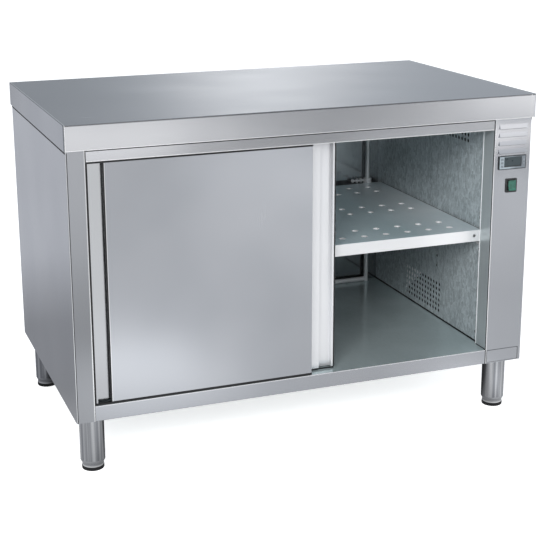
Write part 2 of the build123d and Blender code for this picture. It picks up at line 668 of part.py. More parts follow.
def make_door_back(lane, box_left, box_right):
    """Rear cover of a door, with a hem on the far side of the groove."""
    back = lane + DOOR_THICK
    hem = (DOOR_THICK - GROOVE_WIDTH) / 2
    xa = box_left + DOOR_SKIN
    xb = box_right - DOOR_SKIN
    cover = block(xa, xb, back - DOOR_SKIN, back, DOOR_LOW, DOOR_HIGH - DOOR_SKIN)
    return cover + block(xa, xb, back - hem, back, DOOR_LOW, DOOR_LOW + DOOR_SKIN)


def make_door_core(lane, box_left, box_right):
    """Insulating board between the two skins, above the groove."""
    return block(box_left + DOOR_SKIN, box_right - DOOR_SKIN,
                 lane + DOOR_SKIN, lane + DOOR_THICK - DOOR_SKIN,
                 DOOR_LOW + GROOVE_DEPTH, DOOR_HIGH - DOOR_SKIN)


def make_door_grip(lane, edge, inward):
    """Folded finger channel along a door's outer edge: end wall, lip, lip wall, channel floor."""
    lip = edge + inward * GRIP_LIP
    end = lip + inward * GRIP_WIDTH
    deep = lane + GRIP_DEPTH
    fold = lip - inward * DOOR_SKIN
    grip = block(edge, edge + inward * DOOR_SKIN, lane, lane + DOOR_THICK, DOOR_LOW, DOOR_HIGH)
    grip += block(edge, lip, lane, lane + DOOR_SKIN, DOOR_LOW, DOOR_HIGH)
    grip += block(fold, lip, lane, deep + DOOR_SKIN, DOOR_LOW, DOOR_HIGH)
    grip += block(fold, end, deep, deep + DOOR_SKIN, DOOR_LOW, DOOR_HIGH)
    return grip


def make_door_hangers(lane, box_left, box_right):
    """Two straps on a door's top, each with a headed axle for its wheel."""
    hangers = []
    strap_front = lane + STRAP_SET
    strap_back = lane + STRAP_BACK
    head = lane + WHEEL_BACK + SIDE_PLAY
    for x in hanger_places(box_left, box_right):
        xa = x - STRAP_WIDTH / 2
        xb = x + STRAP_WIDTH / 2
        hanger = block(xa, xb, strap_front, strap_back, DOOR_HIGH, AXLE_Z + WHEEL_RADIUS / 2)
        hanger += block(xa, xb, lane + STRAP_THICK, strap_back, DOOR_HIGH, DOOR_HIGH + STRAP_THICK)
        hanger += rod_y(strap_front, head + AXLE_HEAD_THICK, x, AXLE_Z, AXLE_RADIUS)
        hanger += rod_y(head, head + AXLE_HEAD_THICK, x, AXLE_Z, AXLE_HEAD)
        hangers.append(hanger)
    return group(hangers)


def make_door_wheel(lane, x):
    """Nylon wheel that runs on its hanger's axle."""
    front = lane + WHEEL_FRONT
    back = lane + WHEEL_BACK
    wheel = rod_y(front, back, x, AXLE_Z, WHEEL_RADIUS)
    wheel = chamfer(wheel.edges().filter_by(GeomType.CIRCLE), WHEEL_WIDTH / 10)
    return wheel - rod_y(front, back, x, AXLE_Z, AXLE_RADIUS + RUNNING)


def make_door(name, lane, box_left, box_right, edge, inward):
    """All pieces of one door, by name."""
    pieces = {
        f"{name}_door_front": make_door_front(lane, box_left, box_right),
        f"{name}_door_back": make_door_back(lane, box_left, box_right),
        f"{name}_door_core": make_door_core(lane, box_left, box_right),
        f"{name}_door_grip": make_door_grip(lane, edge, inward),
        f"{name}_door_hangers": make_door_hangers(lane, box_left, box_right),
    }
    for label, x in zip(("first", "second"), hanger_places(box_left, box_right)):
        pieces[f"{name}_door_{label}_wheel"] = make_door_wheel(lane, x)
    return pieces


# Shelf and what carries it

def shelf_hole_places():
    """Columns along the whole shelf, rows in three bands of two."""
    middle_x = (SHELF_LEFT + SHELF_RIGHT) / 2
    middle_y = (WALL_FRONT + SHELF_REAR) / 2
    span = SHELF_RIGHT - SHELF_LEFT - 2 * SHELF_HOLE_MARGIN
    columns = floor(span / SHELF_HOLE_PITCH) + 1
    bands = (WALL_FRONT + SHELF_BAND_MARGIN, middle_y, SHELF_REAR - SHELF_BAND_MARGIN)
    return [(middle_x + (column - (columns - 1) / 2) * SHELF_HOLE_PITCH,
             band + side * SHELF_ROW_PITCH / 2)
            for column in range(columns) for band in bands for side in (-1, 1)]


def make_shelf():
    """Perforated shelf with flanged holes, a folded edge and an inward hem all round."""
    centre = Pos((SHELF_LEFT + SHELF_RIGHT) / 2, (WALL_FRONT + SHELF_REAR) / 2)
    sheet = centre * Rectangle(SHELF_RIGHT - SHELF_LEFT, SHELF_REAR - WALL_FRONT)
    sheet -= [Pos(x, y) * Circle(SHELF_HOLE) for x, y in shelf_hole_places()]
    shelf = extrude(Plane.XY.offset(SHELF_TOP - SKIN) * sheet, amount=SKIN)
    collars = Sketch() + [Pos(x, y) * Circle(SHELF_HOLE + COLLAR_WALL) for x, y in shelf_hole_places()]
    collars -= [Pos(x, y) * Circle(SHELF_HOLE) for x, y in shelf_hole_places()]
    shelf += extrude(Plane.XY.offset(SHELF_TOP - SKIN - SHELF_COLLAR) * collars, amount=SHELF_COLLAR)
    rim = block(SHELF_LEFT, SHELF_RIGHT, WALL_FRONT, SHELF_REAR, SHELF_LOW, SHELF_TOP - SKIN)
    rim -= block(SHELF_LEFT + SKIN, SHELF_RIGHT - SKIN, WALL_FRONT + SKIN, SHELF_REAR - SKIN,
                 SHELF_LOW + SKIN, SHELF_TOP - SKIN)
    rim -= block(SHELF_LEFT + SHELF_HEM, SHELF_RIGHT - SHELF_HEM,
                 WALL_FRONT + SHELF_HEM, SHELF_REAR - SHELF_HEM, SHELF_LOW, SHELF_LOW + SKIN)
    shelf += rim
    z = (SHELF_LOW + SHELF_TOP) / 2
    for x in (SHELF_LEFT + EDGE_HOLE_INSET, SHELF_RIGHT - EDGE_HOLE_INSET):
        shelf -= rod_y(WALL_FRONT, WALL_FRONT + SKIN, x, z, EDGE_HOLE)
    return bend_edges(shelf, Axis.X, BEND, (0, WALL_FRONT, SHELF_TOP))


def rod_places():
    """Place along X of each bright rod, with the way from it into the chamber."""
    return ((LEFT_WALL + ROD_SIDE, 1), (RIGHT_WALL - ROD_SIDE, -1))


def make_rear_rods():
    """Bright frame at the back: an upright rod in each corner and one along the floor."""
    ends = [x for x, inward in rod_places()]
    low = FLOOR + ROD_RADIUS + ROD_FIT
    frame = rod_x(*ends, ROD_Y, low, ROD_RADIUS)
    for x in ends:
        frame += rod_z(FLOOR, CEILING, x, ROD_Y, ROD_RADIUS)
    return frame


def make_shelf_clips():
    """Two angle clips in the wall slots and two ring clips clamped on the rods."""
    clips = []
    y = WALL_FRONT + CLIP_BACK
    ya = y - CLIP_WIDTH / 2
    yb = y + CLIP_WIDTH / 2
    ledge = SHELF_LOW - CLIP_THICK
    for wall, inward in ((LEFT_WALL, 1), (RIGHT_WALL, -1)):
        reach = wall + inward * (SHELF_SIDE_GAP + SHELF_HEM)
        clip = block(wall, wall + inward * CLIP_THICK, ya, yb, SHELF_LOW - CLIP_DROP, SHELF_LOW + CLIP_DROP)
        clip += block(wall, reach, ya, yb, ledge, SHELF_LOW)
        clips.append(clip)
    low = SHELF_LOW - CLIP_DROP
    high = SHELF_TOP + CLIP_RISE
    ring_radius = ROD_RADIUS + CLIP_RING
    for x, inward in rod_places():
        clip = rod_z(low, high, x, ROD_Y, ring_radius)
        clip += block(x - CLIP_WIDTH / 2, x + CLIP_WIDTH / 2, SHELF_REAR - SHELF_HEM, ROD_Y, ledge, SHELF_LOW)
        start = x + inward * ring_radius
        ball = start + inward * THUMB_LENGTH
        z = SHELF_TOP + CLIP_RISE / 2
        clip += rod_x(x, ball, ROD_Y, z, THUMB_RADIUS)
        clip += Pos(ball, ROD_Y, z) * Sphere(THUMB_BALL)
        for place in THUMB_NUT_PLACES:
            middle = start + inward * place
            clip += rod_x(middle - THUMB_NUT_THICK / 2, middle + THUMB_NUT_THICK / 2, ROD_Y, z, THUMB_NUT)
        clips.append(clip - rod_z(low, high, x, ROD_Y, ROD_RADIUS + ROD_FIT))
    return group(clips)


# Legs and feet

def make_leg_tube(x, y):
    """Leg tube with its top plate and, inside, the plate that the stem screws into."""
    top = FLOOR - SKIN
    half = LEG_RADIUS + LEG_PLATE_RIM
    tube = rod_z(FOOT_HEIGHT, top, x, y, LEG_RADIUS) - rod_z(FOOT_HEIGHT, top, x, y, LEG_RADIUS - LEG_WALL)
    plate = block(x - half, x + half, y - half, y + half, top - LEG_PLATE_THICK, top)
    nut_top = LEG_CLEAR - LEG_NUT_DROP
    nut = rod_z(nut_top - LEG_NUT_THICK, nut_top, x, y, LEG_RADIUS)
    nut -= rod_z(nut_top - LEG_NUT_THICK, nut_top, x, y, STEM_RADIUS + FOOT_FIT)
    return tube + plate + nut


def make_foot(x, y):
    """Levelling foot: tapered cup, shoulder under the tube, spigot and stem."""
    spigot = LEG_RADIUS - LEG_WALL - FOOT_FIT
    spigot_top = FOOT_HEIGHT + FOOT_SPIGOT
    stem_top = LEG_CLEAR - LEG_NUT_DROP + STEM_ABOVE
    return turned([
        (0, PAD_HEIGHT),
        (LEG_RADIUS - FOOT_TAPER, PAD_HEIGHT),
        (LEG_RADIUS - FOOT_TAPER, PAD_HEIGHT + FOOT_NECK),
        (LEG_RADIUS, FOOT_HEIGHT - FOOT_BAND),
        (LEG_RADIUS, FOOT_HEIGHT),
        (spigot, FOOT_HEIGHT),
        (spigot, spigot_top),
        (STEM_RADIUS, spigot_top),
        (STEM_RADIUS, stem_top),
        (0, stem_top),
    ], x, y)


def make_foot_pad(x, y):
    """Rubber pad under a foot."""
    pad = rod_z(0, PAD_HEIGHT, x, y, PAD_RADIUS)
    return fillet(pad.edges().filter_by(GeomType.CIRCLE), PAD_ROUND)


# Controls

def control_housing():
    """Width, height and centre height of the controller's housing."""
    return CONTROL_WIDTH - 2 * CONTROL_HOUSING_RIM, CONTROL_HEIGHT - 2 * CONTROL_HOUSING_RIM, CONTROL_Z


def switch_housing():
    """Width, height and centre height of the switch's housing."""
    return SWITCH_WIDTH - 2 * SWITCH_HOUSING_RIM, SWITCH_HEIGHT - 2 * SWITCH_HOUSING_RIM, SWITCH_Z


def window_block(grow, front):
    """Space of the controller's window."""
    x = COLUMN_X + WINDOW_SHIFT
    z = CONTROL_Z + WINDOW_RAISE
    half_width = WINDOW_WIDTH / 2 + grow
    half_height = WINDOW_HEIGHT / 2 + grow
    return block(x - half_width, x + half_width, front, front + WINDOW_THICK,
                 z - half_height, z + half_height)


def button_block(place, grow, front, length):
    """Space of one button, or of its hole."""
    x = COLUMN_X + place[0]
    z = CONTROL_Z + place[1]
    half_width = BUTTON_WIDTH / 2 + grow
    half_height = BUTTON_HEIGHT / 2 + grow
    return block(x - half_width, x + half_width, front, front + length, z - half_height, z + half_height)


def make_controller_body():
    """Bezel and housing, with the window's seat and the buttons' holes."""
    half_width = CONTROL_WIDTH / 2
    half_height = CONTROL_HEIGHT / 2
    bezel = block(COLUMN_X - half_width, COLUMN_X + half_width, CONTROL_FACE, BODY_FRONT,
                  CONTROL_Z - half_height, CONTROL_Z + half_height)
    bezel = fillet(bezel.edges().filter_by(Axis.Y), CONTROL_PROUD / 2)
    width, height, z = control_housing()
    housing = block(COLUMN_X - width / 2, COLUMN_X + width / 2, BODY_FRONT, BODY_FRONT + CONTROL_DEPTH,
                    z - height / 2, z + height / 2)
    body = bezel + housing - window_block(PANEL_FIT, CONTROL_FACE)
    hole = BUTTON_LENGTH - BUTTON_PROUD + BUTTON_TRAVEL + PANEL_FIT
    body -= [button_block(place, PANEL_FIT, CONTROL_FACE, hole) for place in BUTTON_PLACES.values()]
    return body


def make_switch_body():
    """Bezel and housing with the rocker's pocket and pivot holes."""
    half_width = SWITCH_WIDTH / 2
    half_height = SWITCH_HEIGHT / 2
    front = BODY_FRONT - SWITCH_PROUD
    bezel = block(COLUMN_X - half_width, COLUMN_X + half_width, front, BODY_FRONT,
                  SWITCH_Z - half_height, SWITCH_Z + half_height)
    bezel = fillet(bezel.edges().filter_by(Axis.Y), SWITCH_PROUD)
    width, height, z = switch_housing()
    housing = block(COLUMN_X - width / 2, COLUMN_X + width / 2, BODY_FRONT, BODY_FRONT + SWITCH_DEPTH,
                    z - height / 2, z + height / 2)
    pocket_x = ROCKER_WIDTH / 2 + PANEL_FIT
    pocket_z = ROCKER_HEIGHT / 2 + ROCKER_TAPER / 2
    body = bezel + housing
    body -= block(COLUMN_X - pocket_x, COLUMN_X + pocket_x, front, BODY_FRONT + ROCKER_POCKET,
                  SWITCH_Z - pocket_z, SWITCH_Z + pocket_z)
    pivot = ROCKER_WIDTH / 2 + PIVOT_LENGTH + PANEL_FIT
    return body - rod_x(COLUMN_X - pivot, COLUMN_X + pivot, PIVOT_Y, SWITCH_Z, PIVOT_RADIUS + RUNNING)


def make_switch_rocker():
    """Waisted rocker on two short pivots, tipped with its lower end out."""
    half = ROCKER_HEIGHT / 2
    inner = half - ROCKER_TAPER
    outline = [(-ROCKER_OUT, half), (-ROCKER_WAIST, 0), (-ROCKER_OUT, -half), (ROCKER_IN, -inner),
               (ROCKER_IN, inner)]
    rocker = prism_x(outline, -ROCKER_WIDTH / 2, ROCKER_WIDTH / 2)
    pivot = ROCKER_WIDTH / 2 + PIVOT_LENGTH
    rocker += rod_x(-pivot, pivot, 0, 0, PIVOT_RADIUS)
    return Pos(COLUMN_X, PIVOT_Y, SWITCH_Z) * Rot(-ROCKER_TILT, 0, 0) * rocker


# Heating behind the right wall

def heater_ends():
    """Heights of the element's two runs."""
    return LOWER_GRILLE[1] - HEATER_SPREAD, LOWER_GRILLE[1] + HEATER_SPREAD


def make_fan_housing():
    """Cross-flow scroll: curved back, outlet floor, tongue and two end plates on the wall."""
    ring = rod_y(PLATE_FRONT, PLATE_BACK, FAN_X, FAN_Z, SCROLL_OUTER)
    ring -= rod_y(PLATE_FRONT, PLATE_BACK, FAN_X, FAN_Z, SCROLL_INNER)
    curved = ring & block(FAN_X, FAN_X + SCROLL_OUTER, PLATE_FRONT, PLATE_BACK,
                          OUTLET_LOW, FAN_Z + SCROLL_OUTER)
    outlet = block(BAY_LEFT, FAN_X, PLATE_FRONT, PLATE_BACK, OUTLET_LOW, OUTLET_LOW + FAN_SHEET)
    roof = block(BAY_LEFT, BAY_LEFT + HEATER_BAND, PLATE_FRONT, PLATE_BACK,
                 OUTLET_HIGH - FAN_SHEET, OUTLET_HIGH)
    housing = curved + outlet + roof
    for inner, outward in ((PLATE_FRONT, -1), (PLATE_BACK, 1)):
        plate = block(BAY_LEFT, FAN_X + SCROLL_OUTER, inner, inner + outward * FAN_SHEET,
                      OUTLET_LOW, OUTLET_HIGH)
        plate -= rod_y(inner, inner + outward * FAN_SHEET, FAN_X, FAN_Z, FAN_SHAFT + RUNNING)
        housing += plate
    for z in heater_ends():
        housing -= rod_y(PLATE_FRONT - FAN_SHEET, PLATE_FRONT, HEATER_X, z, HEATER_RADIUS + RUNNING)
    return housing


def make_fan_impeller():
    """Drum of slanted blades between two discs, with stub shafts."""
    impeller = rod_y(FAN_FRONT, FAN_FRONT + FAN_DISC, 0, 0, FAN_RADIUS)
    impeller += rod_y(FAN_BACK - FAN_DISC, FAN_BACK, 0, 0, FAN_RADIUS)
    ring = FAN_RADIUS - FAN_BLADE_DEPTH
    for number in range(FAN_BLADES):
        blade = block(-FAN_BLADE_DEPTH / 2, FAN_BLADE_DEPTH / 2, FAN_FRONT, FAN_BACK,
                      -FAN_BLADE_THICK / 2, FAN_BLADE_THICK / 2)
        slanted = Pos(ring, 0, 0) * Rot(0, FAN_BLADE_TURN, 0) * blade
        impeller += Rot(0, 360 * number / FAN_BLADES, 0) * slanted
    stub_front = PLATE_FRONT - 2 * FAN_SHEET
    stub_back = PLATE_BACK + FAN_SHEET + MOTOR_STAND_OFF + SHAFT_INTO_MOTOR
    impeller += rod_y(stub_front, FAN_FRONT, 0, 0, FAN_SHAFT)
    impeller += rod_y(FAN_BACK, stub_back, 0, 0, FAN_SHAFT)
    return Pos(FAN_X, 0, FAN_Z) * impeller


def make_fan_motor():
    """Shaded-pole motor on two posts against the rear end plate."""
    seat = PLATE_BACK + FAN_SHEET
    front = seat + MOTOR_STAND_OFF
    half = MOTOR_SIZE / 2
    motor = block(FAN_X - half, FAN_X + half, front, front + MOTOR_LENGTH, FAN_Z - half, FAN_Z + half)
    motor = fillet(motor.edges().filter_by(Axis.Y), MOTOR_POST)
    for side in (-1, 1):
        motor += rod_y(seat, front, FAN_X, FAN_Z + side * MOTOR_POST_SPREAD, MOTOR_POST)
    return motor - rod_y(front, front + SHAFT_INTO_MOTOR + FAN_SHEET, FAN_X, FAN_Z, FAN_SHAFT + RUNNING)


def make_heating_element():
    """Hairpin element in the fan's outlet, its ends through the front end plate."""
    low, high = heater_ends()
    start = PLATE_FRONT - FAN_SHEET - HEATER_TAIL
    end = FAN_BACK - HEATER_SPREAD - HEATER_RADIUS
    path = Polyline((HEATER_X, start, low), (HEATER_X, end, low))
    path += ThreePointArc((HEATER_X, end, low), (HEATER_X, end + HEATER_SPREAD, (low + high) / 2),
                          (HEATER_X, end, high))
    path += Polyline((HEATER_X, end, high), (HEATER_X, start, high))
    section = Plane(origin=(HEATER_X, start, low), z_dir=(0, 1, 0)) * Circle(HEATER_RADIUS)
    return sweep(section, path=path)


def make_safety_thermostat():
    """Limit thermostat on the front fold of the right wall, with its bulb tube."""
    z = CEILING - THERMOSTAT_DROP
    half = ELECTRIC_SIDE / 2
    front = WALL_FRONT - ELECTRIC_DEPTH
    body = block(COLUMN_X - half, COLUMN_X + half, front, WALL_FRONT, z - half, z + half)
    tube = rod_z(z - 2 * ELECTRIC_SIDE, z, COLUMN_X, (front + WALL_FRONT) / 2, THERMOSTAT_BULB)
    return body + tube


def make_terminal_block():
    """Row of screw terminals on the front fold of the right wall."""
    z = FLOOR + TERMINAL_RISE
    half = TERMINAL_WIDTH / 2
    front = WALL_FRONT - ELECTRIC_DEPTH
    body = block(COLUMN_X - half, COLUMN_X + half, front, WALL_FRONT,
                 z - ELECTRIC_SIDE / 2, z + ELECTRIC_SIDE / 2)
    pitch = TERMINAL_WIDTH / TERMINAL_WAYS
    for number in range(TERMINAL_WAYS):
        x = COLUMN_X + (number - (TERMINAL_WAYS - 1) / 2) * pitch
        body -= rod_y(front, front + ELECTRIC_DEPTH / 2, x, z, TERMINAL_SCREW)
    return body


def make_cable_gland():
    """Gland in the floor pan: hexagon below, thread through the sheet and nut above."""
    below = FLOOR - SKIN
    place = Pos(GLAND_X, GLAND_Y, 0)
    hexagon = extrude(Pos(0, 0, below - GLAND_HEX_DROP) * RegularPolygon(GLAND_HEX, 6), GLAND_HEX_DROP)
    nut = extrude(Pos(0, 0, FLOOR) * RegularPolygon(GLAND_HEX, 6), GLAND_NUT)
    thread = rod_z(below, FLOOR + GLAND_TAIL, 0, 0, GLAND_THREAD)
    bore = rod_z(below - GLAND_HEX_DROP, FLOOR + GLAND_TAIL, 0, 0, GLAND_BORE)
    return place * (hexagon + nut + thread - bore)


def make_panel_screws():
    """Pan-head screws of the right wall and of the back panel."""
    screws = []
    shank = SCREW_RADIUS - SCREW_FIT
    for y, z in wall_screw_places():
        head = rod_x(RIGHT_WALL - SCREW_HEAD_THICK, RIGHT_WALL, y, z, SCREW_HEAD)
        screws.append(head + rod_x(RIGHT_WALL, RIGHT_WALL + SCREW_LENGTH, y, z, shank))
    for x, z in back_screw_places():
        head = rod_y(BODY_BACK, BODY_BACK + SCREW_HEAD_THICK, x, z, SCREW_HEAD)
        screws.append(head + rod_y(BACK_INNER, BODY_BACK, x, z, shank))
    return group(screws)


# All pieces by name

pieces = {
    "worktop": make_worktop(),
    "worktop_core": make_worktop_core(),
    "worktop_stiffeners": make_worktop_stiffeners(),
    "left_side_panel": make_left_side_panel(),
    "right_side_panel": make_right_side_panel(),
    "back_panel": make_back_panel(),
    "control_column": make_control_column(),
    "header_fascia": make_header_fascia(),
    "floor_pan": make_floor_pan(),
    "ceiling_panel": make_ceiling_panel(),
    "inner_right_wall": make_inner_right_wall(),
    "inner_left_wall": make_inner_left_wall(),
    "left_insulation": make_left_insulation(),
    "door_track": make_door_track(),
    "door_guides": make_door_guides(),
    "door_buffers": make_door_buffers(),
    "shelf": make_shelf(),
    "rear_rods": make_rear_rods(),
    "shelf_clips": make_shelf_clips(),
    "leg_tubes": group(make_leg_tube(x, y) for x, y in LEG_PLACES.values()),
    "controller_body": make_controller_body(),
    "controller_window": window_block(0, CONTROL_FACE),
    "switch_body": make_switch_body(),
    "switch_rocker": make_switch_rocker(),
    "fan_housing": make_fan_housing(),
    "fan_impeller": make_fan_impeller(),
    "fan_motor": make_fan_motor(),
    "heating_element": make_heating_element(),
    "safety_thermostat": make_safety_thermostat(),
    "terminal_block": make_terminal_block(),
    "cable_gland": make_cable_gland(),
    "panel_screws": make_panel_screws(),
}
for place_name, (leg_x, leg_y) in LEG_PLACES.items():
    pieces[f"foot_{place_name}"] = make_foot(leg_x, leg_y)
    pieces[f"pad_{place_name}"] = make_foot_pad(leg_x, leg_y)
for button_name, button_place in BUTTON_PLACES.items():
    pieces[button_name] = button_block(button_place, 0, CONTROL_FACE - BUTTON_PROUD, BUTTON_LENGTH)
left_lane, right_lane = lane_doors()
pieces.update(make_door("left", *left_lane, LEFT_DOOR_X, 1))
pieces.update(make_door("right", *right_lane, RIGHT_DOOR_X + DOOR_WIDTH, -1))

os.makedirs("parts", exist_ok=True)
for piece_name, piece in pieces.items():
    export_step(piece, f"parts/{piece_name}.step")
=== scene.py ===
# %% [markdown]
# # A heated cupboard table in stainless steel
#
# The real object is a catering table: a folded worktop on a heated cupboard with two sliding doors, a
# perforated shelf, a column with the controls and four round legs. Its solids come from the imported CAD
# model, which is loaded first and never moved. This lesson gives every surface its finish, adds the thin
# trim that a CAD model leaves out, and sets up a small studio around it.

# %% Load the frame
from math import radians

import bpy
import numpy as np
from mathutils import Matrix, Vector


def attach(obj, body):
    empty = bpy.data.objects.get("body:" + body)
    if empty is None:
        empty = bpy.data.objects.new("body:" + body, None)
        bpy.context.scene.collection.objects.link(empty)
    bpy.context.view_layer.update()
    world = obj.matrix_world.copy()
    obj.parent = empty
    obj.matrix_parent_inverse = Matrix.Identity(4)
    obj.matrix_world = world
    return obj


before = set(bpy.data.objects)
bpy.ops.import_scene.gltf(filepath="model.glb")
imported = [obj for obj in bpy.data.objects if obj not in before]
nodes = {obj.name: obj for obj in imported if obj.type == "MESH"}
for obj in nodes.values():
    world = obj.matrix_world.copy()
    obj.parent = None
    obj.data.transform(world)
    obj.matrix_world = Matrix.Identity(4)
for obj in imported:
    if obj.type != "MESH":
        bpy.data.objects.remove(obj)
scene = bpy.context.scene
scene.view_settings.view_transform = "Standard"
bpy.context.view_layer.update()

# %% [markdown]
# ## The camera
#
# The photograph was taken from the left, a little above the worktop, with a long lens. The upright edges
# stay nearly parallel, so the lens is shifted a little as well as tilted down. The place, the turn and the
# shift were solved from the corners of the worktop and the body, so they are plain numbers here.

# %% Camera
CAMERA_PLACE = (-1.137057, -3.044051, 1.343056)
CAMERA_YAW = 20.292      # degrees from +Y towards +X
CAMERA_PITCH = -14.860   # below the horizon
CAMERA_ROLL = -0.2925
CAMERA_LENS = 82.303     # mm, on the sensor below
CAMERA_SENSOR = 36
CAMERA_SHIFT = (0.02727, -0.09091)
CAMERA_REACH = 200       # metres


def make_camera():
    """Turn about Z by the yaw, tip about X from straight down by 90 degrees plus the pitch, then roll."""
    data = bpy.data.cameras.new("photo_camera")
    data.sensor_width = CAMERA_SENSOR
    data.lens = CAMERA_LENS
    data.shift_x, data.shift_y = CAMERA_SHIFT
    data.clip_end = CAMERA_REACH
    camera = bpy.data.objects.new("photo_camera", data)
    scene.collection.objects.link(camera)
    turn = Matrix.Rotation(radians(-CAMERA_YAW), 4, "Z")
    tip = Matrix.Rotation(radians(90 + CAMERA_PITCH), 4, "X")
    roll = Matrix.Rotation(radians(CAMERA_ROLL), 4, "Z")
    camera.matrix_world = Matrix.Translation(CAMERA_PLACE) @ turn @ tip @ roll
    return camera


scene.camera = make_camera()
print("camera", [round(v, 3) for v in scene.camera.location])

# %% [markdown]
# ## Writing shaders as arithmetic
#
# A finish is a small sum: so much grain, so much cloud, a colour between two others. Blender wants a node
# for each step of that sum. One class wraps a socket so that Python's own operators add the Math nodes,
# and one method makes any other node from its type, its settings and its sockets.

# %% Shader arithmetic
X_AXIS, Y_AXIS, Z_AXIS = 0, 1, 2


class Value:
    """An output socket that takes part in Python sums; every operator adds one Math node."""

    def __init__(self, shop, socket):
        self.shop = shop
        self.socket = socket

    def math(self, operation, first, second=0.0):
        return self.shop.node("ShaderNodeMath", {"operation": operation}, {0: first, 1: second})

    def __add__(self, other):
        return self.math("ADD", self, other)

    def __sub__(self, other):
        return self.math("SUBTRACT", self, other)

    def __rsub__(self, other):
        return self.math("SUBTRACT", other, self)

    def __mul__(self, other):
        return self.math("MULTIPLY", self, other)

    def __truediv__(self, other):
        return self.math("DIVIDE", self, other)

    __radd__ = __add__

    def most(self, other):
        """The larger of two values."""
        return self.math("MAXIMUM", self, other)

    def exp(self):
        """e to the power of this value."""
        return self.math("EXPONENT", self)

    def off(self, centre):
        """Distance from a centre, never negative."""
        return self.math("ABSOLUTE", self - centre)

    def ramp(self, low, high, start=0.0, end=1.0):
        """Straight line from start at low to end at high, held at both ends."""
        sockets = {0: self, 1: low, 2: high, 3: start, 4: end}
        return self.shop.node("ShaderNodeMapRange", {"clamp": True}, sockets)


class Shop:
    """The node tree of one finish, with one method for every node."""

    def __init__(self, tree):
        self.tree = tree
        tree.nodes.clear()

    def node(self, kind, settings=None, sockets=None, out=0):
        """A node of one kind: its settings first, then a value or a link for each named socket."""
        made = self.tree.nodes.new(kind)
        for name, setting in (settings or {}).items():
            setattr(made, name, setting)
        for name, value in (sockets or {}).items():
            if isinstance(value, Value):
                self.tree.links.new(value.socket, made.inputs[name])
            else:
                made.inputs[name].default_value = value
        return Value(self, made.outputs[out]) if made.outputs else None

    def noise(self, vector, scale, detail=2.0):
        """Soft noise from 0 to 1, about 0.5 in the middle."""
        return self.node("ShaderNodeTexNoise", None, {"Vector": vector, "Scale": scale, "Detail": detail})

    def blend(self, share, first, second):
        """Colour between two others."""
        settings = {"data_type": "RGBA"}
        return self.node("ShaderNodeMix", settings, {0: share, 6: rgba(first), 7: rgba(second)}, 2)

    def split(self, vector):
        """The X, Y and Z values of a vector."""
        parts = self.node("ShaderNodeSeparateXYZ", None, {0: vector}).socket.node
        return [Value(self, socket) for socket in parts.outputs]


def rgba(colour):
    """Three numbers as the four that a colour socket takes; a linked colour stays as it is."""
    return colour if isinstance(colour, Value) else (*colour, 1.0)


print("shader arithmetic ready")

# %% [markdown]
# ## The paper
#
# Polished sheet shows its surroundings more than itself, so the studio is part of the finish. The object
# stands on a wide sheet of white paper in a white room. To the camera the paper is plain white with a soft
# shadow. Metal meets levels of the paper's own: pools of light and shade, which the doors and the column
# mirror as patches, and a dim place below the table, which gives the legs their dark sides. A picture of a
# studio could be wrapped round the scene instead, but levels by place can be set one patch at a time.

# %% Levels of the paper
WHITE = (1, 1, 1)
PAPER = (0.90, 0.90, 0.90)
PAPER_GLOW = 0.70          # share of the white that shadows can't take away
PAPER_SPAN = 60.0
# Tint and level change along Y, each between the two places given
TINT_FRONT = (0.975, 0.985, 1.0)
TINT_BACK = (0.935, 0.96, 1.03)
TINT_CHANGE = (-0.4, 0.4)
PAPER_FRONT = 0.98         # level in front of the table, behind it and far behind it
PAPER_BACK = 0.40
PAPER_FAR_BACK = 0.76
BACK_CHANGE = (-0.4, 0.2)
FAR_BACK_CHANGE = (0.8, 1.6)
PAPER_NEAR = 0.24          # taken off just in front of the table, and far in front
PAPER_FAR = 0.15
NEAR_CHANGE = (-1.0, -0.5)
FAR_CHANGE = (-4.4, -3.2)
PAPER_CLOUDS = 0.55        # clouds per metre, and how much they add or take
PAPER_CLOUD_DEPTH = 0.15
# Pools on the paper: x, y, radius in metres, added level
POOLS = ((-0.33, -0.98, 0.36, 0.85), (0.20, -0.95, 0.33, -0.16), (0.58, -0.52, 0.14, 0.65),
         (1.20, -1.35, 0.50, -0.17), (0.25, -3.30, 0.60, -0.20), (1.25, -3.20, 0.65, 1.00),
         (-0.50, -0.48, 0.20, -0.10), (-3.40, -2.60, 1.50, 0.80))
UNDER_TABLE = 0.88         # share of the light that the table takes from the paper below it
UNDER_LEFT = (-0.64, -0.52)
UNDER_RIGHT = (0.52, 0.64)
UNDER_FRONT = (-0.45, -0.17)
UNDER_BACK = (0.28, 0.38)


def paper_level(shop, place):
    """Level that metal mirrors: slopes along Y, clouds, a bell exp(-(distance / radius)^2) for each pool of
    light, less what the table takes away below itself."""
    x, y, _ = shop.split(place)
    cloud = shop.noise(place, PAPER_CLOUDS, 1.0)
    level = y.ramp(*BACK_CHANGE, PAPER_FRONT, PAPER_BACK)
    level = level + y.ramp(*FAR_BACK_CHANGE, 0, PAPER_FAR_BACK - PAPER_BACK)
    level = level - y.ramp(*NEAR_CHANGE, 0, PAPER_NEAR) * y.ramp(*BACK_CHANGE, 1, 0)
    level = level - y.ramp(*FAR_CHANGE, PAPER_FAR, 0) + (cloud - 0.5) * PAPER_CLOUD_DEPTH
    for pool_x, pool_y, radius, lift in POOLS:
        away = (x - pool_x) * (x - pool_x) + (y - pool_y) * (y - pool_y)
        level = level + (away * (-1 / radius ** 2)).exp() * lift
    across = x.ramp(*UNDER_LEFT) * x.ramp(*UNDER_RIGHT, 1, 0)
    along = y.ramp(*UNDER_FRONT) * y.ramp(*UNDER_BACK, 1, 0)
    return level * (1 - across * along * UNDER_TABLE)


print("pools", len(POOLS))

# %% Paper


